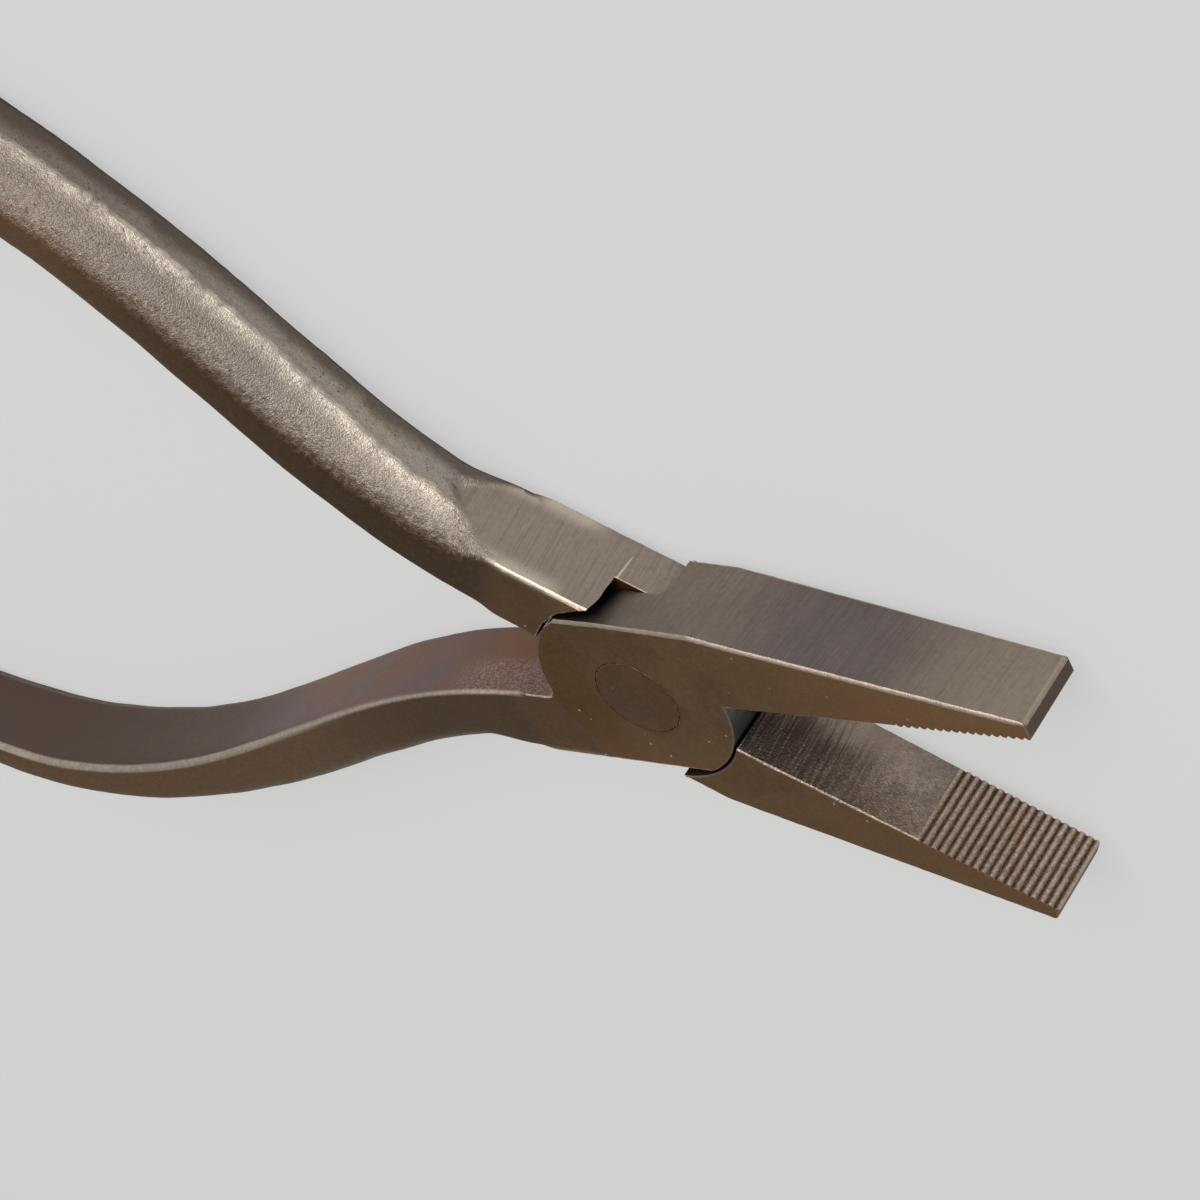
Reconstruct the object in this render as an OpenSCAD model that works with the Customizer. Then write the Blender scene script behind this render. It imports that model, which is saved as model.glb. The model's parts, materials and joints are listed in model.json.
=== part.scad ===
// Flat-nose pliers with a lap joint: two crossing forged halves on one flush rivet.
// X runs from the joint to the jaw tips, midway between the jaws, and Z is the pivot axis.
// The origin lies on the pivot axis, on the flat back face of the joint.

/* [Pose] */
// Angle between the two jaw faces, in degrees
opening = 31.6; // [2:0.2:50]

/* [Joint] */
// Thickness of the joint, front face to back face
joint_thickness = 8.4; // [7.6:0.1:10]
// Pivot to the outer edge of the joint on the jaw side, front half
front_joint_edge = 8.4; // [7.8:0.1:8.8]
// Pivot to the outer edge of the joint on the jaw side, rear half
rear_joint_edge = 8.0; // [7.8:0.1:8.8]
// Pivot to the outer edge of the joint on the handle side
handle_joint_edge = 8.35; // [7.6:0.1:8.8]
// Radius of a plate's round end beside the other half's handle
handle_end_radius = 9.6; // [9.2:0.1:10.4]
// Radius of a plate's round end beside the other half's jaw
jaw_end_radius = 9.1; // [8.8:0.1:10]
// Gap between a plate's round end and the curved step it turns in
step_gap = 0.25; // [0.15:0.05:0.6]
// Running gap between the two plates
lap_gap = 0.05; // [0.02:0.01:0.1]
// Width of the ground chamfer along the joint and jaw edges
edge_chamfer = 0.3; // [0.1:0.05:0.6]

/* [Jaws] */
// Pivot to the jaw tip
jaw_length = 38.6; // [30:0.2:50]
// Pivot to the shoulder where the jaw starts to taper
shoulder_x = 9.2; // [9:0.1:11]
// Height of the jaw at its shoulder
shoulder_height = 8; // [7.4:0.1:8.6]
// Height of the jaw at its tip
tip_height = 1.7; // [1:0.1:3]
// Thickness of the jaw at its tip
tip_thickness = 7.5; // [5:0.1:7.6]
// Pivot to where the jaw starts to thin towards the tip
thinning_x = 12; // [11:0.5:20]
// Gap left between the jaw faces when the tool is shut
shut_gap = 0.1; // [0.05:0.01:0.3]
// Chamfer of the tip's outer edge
tip_chamfer = 0.4; // [0.2:0.1:0.8]

/* [Grip grooves] */
// Number of cross grooves in each jaw face
groove_count = 17; // [5:1:24]
// Distance from groove to groove
groove_pitch = 0.74; // [0.5:0.02:0.9]
// Width of one groove at the jaw face
groove_width = 0.5; // [0.3:0.02:0.5]
// Depth of one groove
groove_depth = 0.24; // [0.1:0.02:0.4]
// Jaw tip to the middle of the first groove
groove_setback = 0.5; // [0.4:0.1:1.5]

/* [Handles] */
// Pivot to the end of the handle, along the closing line
handle_length = 114; // [105:1:125]
// Pivot to the widest bow of the handle
bow_x = 87; // [75:1:92]
// Closing line to the middle of the front half's bow
front_bow_y = 23.1; // [16:0.1:26]
// Closing line to the middle of the rear half's bow
rear_bow_y = 24.9; // [16:0.1:28]
// How far the handle's end turns back in from the bow
end_drop = 7.2; // [2:0.2:9]
// Straight run of the handle's curve at the joint
root_pull = 26.5; // [18:0.5:32]
// Straight run of the front half's curve at the bow
front_bow_pull = 33; // [24:1:42]
// Straight run of the rear half's curve at the bow
rear_bow_pull = 40; // [24:1:42]
// Closing line to the inner side of the handle at the joint
root_inner_y = 1.35; // [0.8:0.05:2]
// Pivot to the end of the handle's square root
root_x = 14.5; // [13:0.5:18]
// Pivot to the neck, where the handle's outer side has become round
neck_x = 23; // [19:0.5:30]
// Pivot to the middle of the handle, where its inner side has become round
middle_x = 48; // [40:1:60]
// Pivot to where the handle has thinned to its end depth
thin_x = 98; // [90:1:104]
// Inside corner radius where the handle's inner side meets the plate's round end
root_fillet = 1.2; // [0.5:0.1:1.6]
// Depth of the handle, inner side to outer side, at its middle
middle_depth = 7; // [6.4:0.1:8.2]
// Depth of the handle near its end
end_depth = 4.2; // [3.6:0.1:6]
// Thickness of the handle at its middle
middle_thickness = 8.8; // [8.4:0.1:10]
// Thickness of the handle at the bow
bow_thickness = 9.9; // [8.6:0.1:11]
// Thickness of the handle near its end
end_thickness = 8.9; // [7:0.1:10]

/* [Rivet] */
// Diameter of the rivet's shank
shank_diameter = 5; // [4:0.1:6]
// Diameter of the flush countersunk head at each face
head_diameter = 7.9; // [7:0.1:9]
// Depth of the countersink
head_depth = 1.6; // [1:0.1:2]
// Gap around the rivet where the rear half turns on it
running_gap = 0.04; // [0.02:0.01:0.1]
// Gap around the rivet where it is fast in the front half
fast_gap = 0.01; // [0.005:0.005:0.015]

/* [Hidden] */
half_thickness = joint_thickness / 2;
root_depth = handle_joint_edge - root_inner_y;
root_y = (handle_joint_edge + root_inner_y) / 2;
jaw_slope = (shoulder_height - tip_height) / (jaw_length - shoulder_x);
// Overrun of a cut past the face that it leaves
through = 1;
// Facets round a full circle
smooth = 96;
// Rings along a handle, rings in its rounded end, and points round a ring
stations = 44;
cap_stations = 6;
ring_points = 28;
// Superellipse exponents of the handle's section: square root, domed outer side, flatter inner side
corner_square = 9;
outer_round = 2.7;
inner_round = 5.8;
// Share of a full half circle that the handle's rounded end reaches
cap_fullness = 0.98;
// Share of the bow's straight run that is carried past the bow towards the end
bow_lead = 0.25;
// Size of the handle's first ring, a little under the square root that it starts in
root_fit = 0.985;
// Length of the loft that is buried in the square root
loft_overlap = 2.5;
loft_start = root_x - loft_overlap;

// Point on a cubic curve through p0 and p3, drawn towards p1 and p2
function cubic(p0, p1, p2, p3, t) =
    pow(1 - t, 3) * p0 + 3 * pow(1 - t, 2) * t * p1 + 3 * (1 - t) * t * t * p2 + pow(t, 3) * p3;

// Smooth change from a to b as x passes from x0 to x1
function ease(x, x0, x1, a, b) =
    let (u = min(1, max(0, (x - x0) / (x1 - x0)))) a + (b - a) * u * u * (3 - 2 * u);

// Power of a cosine or sine that keeps its sign
function signed_power(v, n) = sign(v) * pow(abs(v), n);

// Middle line of the handle for a share t of its run, with the bow at half way
function handle_point(bow_y, bow_pull, t) =
    t < 0.5
        ? cubic([loft_start, root_y], [loft_start + root_pull, root_y],
                [bow_x - bow_pull, bow_y], [bow_x, bow_y], 2 * t)
        : cubic([bow_x, bow_y], [bow_x + bow_lead * bow_pull, bow_y],
                [handle_length - end_drop, bow_y - end_drop / 2],
                [handle_length, bow_y - end_drop], 2 * t - 1);

// Depth of the handle at x, from its inner side to its outer side
function handle_depth(x) =
    ease(x, root_x, middle_x, root_depth, middle_depth)
    + ease(x, middle_x, thin_x, 0, end_depth - middle_depth);

// Thickness of the handle at x, from front to back
function handle_thickness(x) =
    ease(x, root_x, middle_x, joint_thickness, middle_thickness)
    + ease(x, middle_x, bow_x, 0, bow_thickness - middle_thickness)
    + ease(x, bow_x, handle_length, 0, end_thickness - bow_thickness);

// Closed outline of the handle at x: flat inner side, domed outer side
function handle_ring(x, shrink) = [
    for (i = [0 : ring_points - 1])
        let (a = 360 * (i + 0.5) / ring_points,
             outer = ease(x, root_x, neck_x, corner_square, outer_round),
             inner = ease(x, root_x, middle_x, corner_square, inner_round),
             n = 2 / (cos(a) > 0 ? outer : inner),
             size = shrink / 2 * ease(x, root_x, neck_x, root_fit, 1))
        [signed_power(cos(a), n) * handle_depth(x) * size,
         signed_power(sin(a), n) * handle_thickness(x) * size]];

// Skin over a list of rings that all have the same number of points
module skin(rings) {
    m = len(rings[0]);
    last = len(rings) - 1;
    points = [for (r = rings) each r];
    sides = [for (k = [0 : last - 1]) for (i = [0 : m - 1])
        let (j = (i + 1) % m)
        each [[k * m + i, (k + 1) * m + j, k * m + j],
              [k * m + i, (k + 1) * m + i, (k + 1) * m + j]]];
    caps = [[for (i = [0 : m - 1]) i], [for (i = [m - 1 : -1 : 0]) last * m + i]];
    polyhedron(points, concat(sides, caps), convexity = 6);
}

// Bowed handle of the front half, running back from the joint and below the closing line
module handle(bow_y, bow_pull) {
    nudge = 0.002;
    rings = [for (k = [0 : stations + cap_stations])
        let (t = min(1, k / stations),
             lead = max(0, k - stations) / cap_stations,
             p = handle_point(bow_y, bow_pull, t),
             ahead = min(1, t + nudge),
             d = handle_point(bow_y, bow_pull, ahead) - handle_point(bow_y, bow_pull, ahead - nudge),
             u = d / norm(d),
             shrink = sqrt(1 - cap_fullness * lead * lead),
             reach = lead * end_depth / 2,
             c = p + u * reach)
        [for (q = handle_ring(p[0], shrink))
            [-(c[0] - u[1] * q[0]), -(c[1] + u[0] * q[0]), q[1]]]];
    skin(rings);
}

// Quarter of a plate's round end: the part of a disc inside one rectangle
module round_end(radius, corner, size) {
    intersection() {
        translate(corner) square(size);
        circle(r = radius, $fn = smooth);
    }
}

// Filler for an inside corner at the origin, open to the upper left
module inside_corner(radius) {
    difference() {
        translate([-radius, -radius / 2]) square([2 * radius, 1.5 * radius]);
        translate([-radius, radius]) circle(r = radius, $fn = smooth);
    }
}

// Outline of the joint plate, the jaw and the square root of the handle, jaw side up
module forging_outline(joint_edge) {
    face_y = shut_gap / 2;
    round_end(handle_end_radius, [-handle_end_radius, -root_inner_y],
              [handle_end_radius, joint_edge + root_inner_y]);
    round_end(jaw_end_radius, [0, -handle_joint_edge], [jaw_end_radius, handle_joint_edge]);
    translate([-root_x, -handle_joint_edge]) square([root_x, root_depth]);
    translate([-handle_end_radius, -root_inner_y]) inside_corner(root_fillet);
    polygon([[0, -face_y], [jaw_end_radius - face_y, -face_y], [jaw_end_radius, face_y],
             [jaw_length, face_y], [jaw_length, tip_height - tip_chamfer],
             [jaw_length - tip_chamfer, tip_height], [shoulder_x, shoulder_height], [0, joint_edge]]);
}

// One cross groove, pointing up from the jaw face
module groove() {
    mouth = 0.5;
    flare = groove_width / 2 * (1 + mouth / groove_depth);
    polygon([[-flare, -mouth], [flare, -mouth], [0, groove_depth]]);
}

// Outline with the cross grooves cut into the jaw face, the first one nearest the tip
module grooved_outline(joint_edge) {
    difference() {
        forging_outline(joint_edge);
        for (i = [0 : groove_count - 1])
            translate([jaw_length - groove_setback - i * groove_pitch, shut_gap / 2]) groove();
    }
}

// Side view of the joint and jaw: parallel at the joint, thinner towards the tip
module thinning_outline() {
    tip_half = tip_thickness / 2;
    polygon([[-root_x, -half_thickness], [thinning_x, -half_thickness], [jaw_length, -tip_half],
             [jaw_length, tip_half], [thinning_x, half_thickness], [-root_x, half_thickness]]);
}

// Square bar laid along an edge from a to b, turned so that it cuts a chamfer
module edge_bar(a, b, width) {
    v = b - a;
    side = width * sqrt(2);
    translate(a) rotate([0, -asin(v[2] / norm(v)), atan2(v[1], v[0])]) rotate([45, 0, 0])
        translate([0, -side / 2, -side / 2]) cube([norm(v), side, side]);
}

// Chamfers on both faces along the straight edges of the joint and jaw
module edge_bars(joint_edge) {
    for (s = [-1, 1]) {
        edge_bar([shoulder_x, shoulder_height, s * half_thickness],
                 [jaw_length + through, tip_height - jaw_slope * through, s * tip_thickness / 2],
                 edge_chamfer);
        edge_bar([-handle_end_radius, joint_edge, s * half_thickness],
                 [shoulder_x, shoulder_height, s * half_thickness], edge_chamfer);
        edge_bar([-root_x, -handle_joint_edge, s * half_thickness],
                 [jaw_end_radius, -handle_joint_edge, s * half_thickness], edge_chamfer);
        edge_bar([jaw_end_radius, shut_gap / 2, s * half_thickness],
                 [jaw_length + through, shut_gap / 2, s * tip_thickness / 2], edge_chamfer / 2);
    }
}

// Space cleared for the other half's plate, behind the lap plane
module lap_recess() {
    handle_step = handle_end_radius + step_gap;
    jaw_step = jaw_end_radius + step_gap;
    translate([0, 0, -half_thickness - through]) linear_extrude(half_thickness + through + lap_gap / 2) {
        round_end(handle_step, [-handle_step, -handle_step], [handle_step, 2 * handle_step]);
        round_end(jaw_step, [0, -jaw_step], [jaw_step, 2 * jaw_step]);
    }
}

// Turned form of the rivet, or of its hole when gap is above zero
module rivet_form(gap, overrun) {
    shank = shank_diameter / 2 + gap;
    head = head_diameter / 2 + gap;
    lip = half_thickness - head_depth;
    rotate_extrude($fn = smooth)
        polygon([[0, -half_thickness - overrun], [head, -half_thickness - overrun], [head, -half_thickness],
                 [shank, -lip], [shank, lip], [head, half_thickness], [head, half_thickness + overrun],
                 [0, half_thickness + overrun]]);
}

// One forging, lying with its joint plate above the lap plane and its jaw on the +Y side
module half(joint_edge, bow_y, bow_pull, rivet_gap) {
    difference() {
        union() {
            intersection() {
                translate([0, 0, -joint_thickness]) linear_extrude(2 * joint_thickness)
                    grooved_outline(joint_edge);
                rotate([90, 0, 0]) translate([0, 0, -2 * joint_edge]) linear_extrude(4 * joint_edge)
                    thinning_outline();
            }
            handle(bow_y, bow_pull);
        }
        edge_bars(joint_edge);
        lap_recess();
        rivet_form(rivet_gap, through);
    }
}

// Forging whose joint plate lies in front, with its jaw on the +Y side
module front_half() {
    color("#5c4f3f")
        translate([0, 0, half_thickness]) rotate([0, 0, opening / 2])
            half(front_joint_edge, front_bow_y, front_bow_pull, fast_gap);
}

// The same forging turned over, with its joint plate behind and its jaw on the -Y side
module rear_half() {
    color("#6a5f52")
        translate([0, 0, half_thickness]) rotate([180, 0, -opening / 2])
            half(rear_joint_edge, rear_bow_y, rear_bow_pull, running_gap);
}

// Rivet with a flush countersunk head in each face of the joint
module pivot_rivet() {
    color("#54493b")
        translate([0, 0, half_thickness]) rivet_form(0, 0);
}

front_half();
rear_half();
pivot_rivet();
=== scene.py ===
"""Flat-nose pliers held open: two aged steel forgings that cross at a flush rivet.

Each forging is built in its own frame, in millimetres, with its jaw on the +Y side and its joint plate
above the lap plane. It is then turned to the open position and written in metres in the shared frame.
"""

import json
import logging
import math
from collections.abc import Sequence
from dataclasses import dataclass, field
from enum import Enum, IntEnum

import bmesh
import bpy
import numpy as np
from mathutils import Matrix, Vector, noise


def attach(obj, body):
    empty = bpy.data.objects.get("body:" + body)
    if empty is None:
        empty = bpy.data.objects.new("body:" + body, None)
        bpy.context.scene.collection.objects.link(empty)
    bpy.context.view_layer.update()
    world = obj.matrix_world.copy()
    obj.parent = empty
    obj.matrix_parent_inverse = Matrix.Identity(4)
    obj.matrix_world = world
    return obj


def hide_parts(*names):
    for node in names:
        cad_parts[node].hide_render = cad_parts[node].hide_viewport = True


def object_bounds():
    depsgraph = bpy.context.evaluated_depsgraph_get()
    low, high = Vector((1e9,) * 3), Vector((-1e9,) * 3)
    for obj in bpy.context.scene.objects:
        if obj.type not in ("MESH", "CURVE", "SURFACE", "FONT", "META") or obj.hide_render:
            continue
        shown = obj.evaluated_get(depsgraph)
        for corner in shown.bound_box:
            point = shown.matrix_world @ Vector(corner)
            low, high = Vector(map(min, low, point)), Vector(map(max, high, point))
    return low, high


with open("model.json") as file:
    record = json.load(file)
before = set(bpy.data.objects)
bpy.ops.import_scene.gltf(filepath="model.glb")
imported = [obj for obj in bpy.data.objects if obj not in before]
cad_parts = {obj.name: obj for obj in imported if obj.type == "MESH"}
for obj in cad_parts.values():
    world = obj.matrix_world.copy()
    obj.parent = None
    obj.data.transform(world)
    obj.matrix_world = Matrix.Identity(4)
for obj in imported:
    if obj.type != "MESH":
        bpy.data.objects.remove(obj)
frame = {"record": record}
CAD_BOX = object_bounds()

log = logging.getLogger("pliers")

MM = 0.001
TINY = 1e-4
BEVEL_WEIGHT = "bevel_weight_edge"
NORMAL_WEIGHT = 80
WEAR_SEED = 4
Point = tuple[float, float]
Range = tuple[float, ...]
Waves = tuple[tuple[float, float, float, float], ...]
Socket = bpy.types.NodeSocket
Value = Socket | float

SURFACE_MASKS = ("worn", "forged", "cut", "grooved", "brushed", "flash")
HANDLE_MASKS = ("forged", "worn", "flash")
WAVE_SIZE, WAVE_HEIGHT = 5.0, 0.09
PIT_SIZE, PIT_HEIGHT = 0.85, 0.035
PATCH_SIZE, PATCH_LEVEL = 7.0, 0.55
SINK = 0.6


class Side(Enum):
    """Which of the two forgings a half is."""

    FRONT = "front"
    REAR = "rear"


class Zone(IntEnum):
    """Kind of surface that a face of a forging belongs to."""

    GROUND = 0
    EDGE = 1
    HANDLE = 2
    CUT = 3
    GROOVE = 4


@dataclass(frozen=True)
class JointSizes:
    """Sizes of the lap joint that both halves share, in millimetres."""

    thickness: float = 8.4
    handle_edge: float = 8.35
    handle_end_radius: float = 9.6
    jaw_end_radius: float = 9.1
    step_gap: float = 0.25
    lap_gap: float = 0.05
    arc_step: float = 0.35

    @property
    def half_thickness(self) -> float:
        """Distance from the lap plane's middle to the front or back face."""
        return self.thickness / 2

    @property
    def handle_step(self) -> float:
        """Radius of the curved step beside the handle."""
        return self.handle_end_radius + self.step_gap

    @property
    def jaw_step(self) -> float:
        """Radius of the curved step beside the jaw."""
        return self.jaw_end_radius + self.step_gap


@dataclass(frozen=True)
class JawSizes:
    """Sizes of one jaw and its grip grooves, in millimetres."""

    length: float = 38.6
    shoulder_x: float = 9.2
    shoulder_height: float = 8.0
    tip_height: float = 1.7
    tip_thickness: float = 7.5
    thinning_x: float = 12.0
    face_y: float = 0.05
    groove_count: int = 17
    groove_pitch: float = 0.74
    groove_width: float = 0.5
    groove_depth: float = 0.24
    groove_setback: float = 0.5


@dataclass(frozen=True)
class HandleSizes:
    """Sizes of one bowed handle, in millimetres."""

    length: float = 114.0
    bow_x: float = 87.0
    end_drop: float = 7.2
    root_pull: float = 26.5
    root_inner_y: float = 1.35
    root_x: float = 13.2
    loft_overlap: float = 1.2
    root_fillet: float = 1.2
    neck_x: float = 23.0
    near_neck_x: float = 18.6
    middle_x: float = 48.0
    thin_x: float = 98.0
    middle_depth: float = 7.0
    end_depth: float = 4.2
    middle_thickness: float = 8.8
    bow_thickness: float = 9.9
    end_thickness: float = 8.9
    bow_lead: float = 0.25
    outer_round: float = 3.3
    near_round: float = 2.0
    inner_round: float = 5.8
    corner_square: float = 9.0
    root_square: float = 14.0
    cap_fullness: float = 0.98
    ring_step: float = 0.32
    cap_rings: int = 12
    settle: float = 2.4
    facet_tip: Point = (20.3, 1.0)
    facet_slant: Point = (1.5, 0.93)
    facet_power: float = 1.2
    facet_fade: float = 1.5
    facet_depth: float = 0.01
    draft: float = 0.16
    draft_level: float = 2.2
    draft_round: float = 0.3
    draft_range: Range = (16.5, 22.0, 62.0, 76.0)
    flash_range: Range = (19.0, 42.0, -1.4, 0.0)
    flash_width: float = 0.55
    flash_height: float = 0.28
    flash_wander: Waves = ((0.3, 2.4, 0, 7), (0.16, 0.7, 3, 0))
    flash_level: float = 0.8
    flash_ragged: Waves = ((0.7, 0.9, 5, 5), (0.3, 3.0, 9, 0))
    outer_side: float = 1.5
    spread_range: Range = (30.0, 60.0, 70.0, 82.0)


@dataclass(frozen=True)
class HandleWearAndSheen:
    """How bright a handle's edges and flash line are painted, partly rubbed metal and partly painted
    highlight: shares from 0 to 1, and ranges along X.
    """

    # the inner edges' bright line: partly rubbed metal, partly a painted highlight
    inner_start: Range = (40.0, 60.0, 0.965, 0.95)
    inner_width: float = 0.03
    inner_settle: float = 1.0
    inner_back: Range = (18.0, 26.0, 1.0, 0.75)
    inner_front: float = 0.2
    front_start: Point = (0.93, 0.84)
    front_full: float = 0.98
    front_fade: float = 2.0
    front_side: float = -0.05
    crease: float = 0.8
    crease_level: float = 0.45
    crease_width: float = 0.3
    crease_depth: float = 0.12
    # flash line: rubbed bright and partly a painted highlight; the next two set the painted highlight on the
    # lit strip in front of it
    flash: float = 0.85
    highlight_band: float = 0.4
    highlight_band_width: float = 0.9
    flash_fade: Range = (70.0, 90.0, 1.0, 0.5)


@dataclass(frozen=True)
class RubbedEdges:
    """How bright a block's edges are rubbed, from 0 to 1, and the lengths that tell them apart."""

    most: float = 1.0
    tip: float = 0.85
    tip_length: float = 0.8
    tip_corner: float = 0.15
    corner_depth: float = 0.3
    face_band: float = 0.5
    step: float = 0.1
    step_outside: float = 0.8
    step_band: float = 0.4
    outside_y: float = -7.9
    plate_end: float = 0.12
    plate_end_y: float = 7.6
    plate_end_band: float = 0.3


@dataclass(frozen=True)
class EdgeWidths:
    """Widths of the worn and ground edges, in millimetres."""

    ground: float = 0.3
    jaw_face: float = 0.14
    round_end: float = 0.12
    tip: float = 0.2
    step: float = 0.12
    lap: float = 0.06
    corner: float = 0.16
    widest: float = 0.5
    segments: int = 3
    flatness: float = 0.36
    wander: float = 0.05
    step_wander: float = 0.16
    step_band: float = 0.4
    root_settle: float = 2.0
    burr: float = 0.34
    burr_levels: Range = (0.1, 0.2, 0.32, 0.46, 0.6, 0.74, 0.88)
    burr_full: float = 0.4
    burr_reach: float = 0.22
    burr_slices: float = 0.7
    burr_ragged: float = 0.35
    burr_ripple: float = 0.7
    wander_scale: float = 0.9
    slice_step: float = 0.6


@dataclass(frozen=True)
class RivetSizes:
    """Sizes of the rivet and of the fine ring round its flush heads, in millimetres."""

    shank_radius: float = 2.5
    head_radius: float = 3.95
    head_depth: float = 1.6
    ring_width: float = 0.06
    ring_depth: float = 0.12
    fit: float = 0.01
    turns: int = 144
    overrun: float = 1.0
    rim_round: float = 0.06


def ease(x: float, low: float, high: float, start: float, end: float) -> float:
    """Smooth change from start to end as x passes from low to high."""
    u = min(1.0, max(0.0, (x - low) / (high - low)))
    return start + (end - start) * u * u * (3 - 2 * u)


def ripple(x: float, waves: Waves, level: float = 0.0) -> float:
    """Uneven value at x: a level and waves of (height, length, two offsets in the noise)."""
    return sum((height * noise.noise(Vector((x / length, a, b))) for height, length, a, b in waves), level)


def cubic(points: Sequence[Vector], t: float) -> Vector:
    """Point at t on the cubic curve that four points draw."""
    a, b, c, d = points
    s = 1 - t
    return a * s**3 + b * (3 * s * s * t) + c * (3 * s * t * t) + d * t**3


def arc(centre: Point, radius: float, start: float, end: float, step: float) -> list[Point]:
    """Points along an arc, its two ends included.

    Args:
        centre: Middle of the arc's circle.
        radius: Radius of the arc.
        start: First angle, in radians.
        end: Last angle, in radians; below start for a clockwise arc.
        step: Longest distance between two points.

    Returns:
        The points, in order from start to end.
    """
    count = max(2, math.ceil(abs(end - start) * radius / step))
    angles = [start + (end - start) * i / count for i in range(count + 1)]
    return [(centre[0] + radius * math.cos(a), centre[1] + radius * math.sin(a)) for a in angles]


def angle_of(point: Point, centre: Point = (0.0, 0.0)) -> float:
    """Angle of a point seen from a centre, in radians from 0 to a full turn."""
    return math.atan2(point[1] - centre[1], point[0] - centre[0]) % math.tau


def circles_meet(radius: float, centre: Point, second: float, near: Point) -> Point:
    """Point where a circle round the pivot meets another circle.

    Args:
        radius: Radius of the circle round the pivot.
        centre: Middle of the other circle.
        second: Radius of the other circle.
        near: The wanted one of the two points lies nearest to this.

    Returns:
        The meeting point.
    """
    reach = math.hypot(*centre)
    along = (radius**2 - second**2 + reach**2) / (2 * reach)
    off = math.sqrt(max(0.0, radius**2 - along**2))
    ux, uy = centre[0] / reach, centre[1] / reach
    both = [(ux * along - uy * s * off, uy * along + ux * s * off) for s in (-1, 1)]
    return min(both, key=lambda p: math.dist(p, near))


@dataclass(frozen=True)
class Stretch:
    """Part of an outline: its points, its edge width, and whether only the joint plate is under it."""

    name: str
    width: float
    points: list[Point]
    plate_only: bool = False


@dataclass
class Outline:
    """Outline of one forging's joint, jaw and handle root, seen along the pivot axis."""

    joint: JointSizes
    jaw: JawSizes
    handle: HandleSizes
    edges: EdgeWidths
    joint_edge: float

    def grooves(self) -> list[Point]:
        """Corners of the grip grooves along the jaw face, from the joint to the tip."""
        j = self.jaw
        corners = []
        for i in reversed(range(j.groove_count)):
            middle = j.length - j.groove_setback - i * j.groove_pitch
            corners.append((middle - j.groove_width / 2, j.face_y))
            corners.append((middle, j.face_y + j.groove_depth))
            corners.append((middle + j.groove_width / 2, j.face_y))
        return corners

    def step_top(self) -> Point:
        """Point where the jaw's curved step meets the outer edge of the joint."""
        slope = (self.jaw.shoulder_height - self.joint_edge) / self.jaw.shoulder_x
        a, b = 1 + slope**2, 2 * slope * self.joint_edge
        c = self.joint_edge**2 - self.joint.jaw_step**2
        x = (-b + math.sqrt(b * b - 4 * a * c)) / (2 * a)
        return x, self.joint_edge + slope * x

    def stretches(self) -> list[Stretch]:
        """The whole outline, anticlockwise from the handle root; each stretch starts where the last ends."""
        o, j, h, e = self.joint, self.jaw, self.handle, self.edges
        low, step, grooves = -o.handle_edge, o.arc_step, self.grooves()
        handle_step = (-math.sqrt(o.handle_step**2 - low**2), low)
        plate_low = (math.sqrt(o.jaw_end_radius**2 - low**2), low)
        face_start, step_face = (o.jaw_end_radius, j.face_y), (o.jaw_step, j.face_y)
        tip_back = (j.length, j.tip_height)
        shoulder, step_top = (j.shoulder_x, j.shoulder_height), self.step_top()
        plate_top = (-math.sqrt(o.handle_end_radius**2 - self.joint_edge**2), self.joint_edge)
        fillet = (-o.handle_end_radius - h.root_fillet, h.root_fillet - h.root_inner_y)
        fillet_top = (-o.handle_end_radius, fillet[1])
        fillet_step = circles_meet(o.handle_step, fillet, h.root_fillet, fillet_top)
        turned = angle_of(fillet_step, fillet) - math.tau
        jaw_end = arc((0, 0), o.jaw_end_radius, angle_of(plate_low), math.tau, step)
        handle_end = arc((0, 0), o.handle_end_radius, angle_of(plate_top), angle_of(fillet_top), step)
        return [
            Stretch("root_outer", e.ground, [(-h.root_x, low), handle_step]),
            Stretch("plate_low", e.ground, [handle_step, plate_low], True),
            Stretch("jaw_end", e.round_end, [*jaw_end, face_start], True),
            Stretch("face_start", e.jaw_face, [face_start, step_face], True),
            Stretch("face", e.jaw_face, [step_face, grooves[0]]),
            Stretch("grooves", 0.0, grooves),
            Stretch("face_end", 0.0, [grooves[-1], (j.length, j.face_y)]),
            Stretch("tip", e.tip, [(j.length, j.face_y), tip_back]),
            Stretch("jaw_back", e.ground, [tip_back, shoulder]),
            Stretch("shoulder", e.ground, [shoulder, step_top]),
            Stretch("plate_top", e.ground, [step_top, (0.0, self.joint_edge), plate_top], True),
            Stretch("handle_end", e.round_end, handle_end, True),
            Stretch("fillet_plate", e.round_end, arc(fillet, h.root_fillet, 0, turned, step / 2), True),
            Stretch("fillet_root", e.round_end, arc(fillet, h.root_fillet, turned, -math.pi / 2, step / 2)),
            Stretch("root_inner", e.jaw_face, [(fillet[0], -h.root_inner_y), (-h.root_x, -h.root_inner_y)]),
            Stretch("root_end", 0.0, [(-h.root_x, -h.root_inner_y), (-h.root_x, low)]),
        ]


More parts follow.
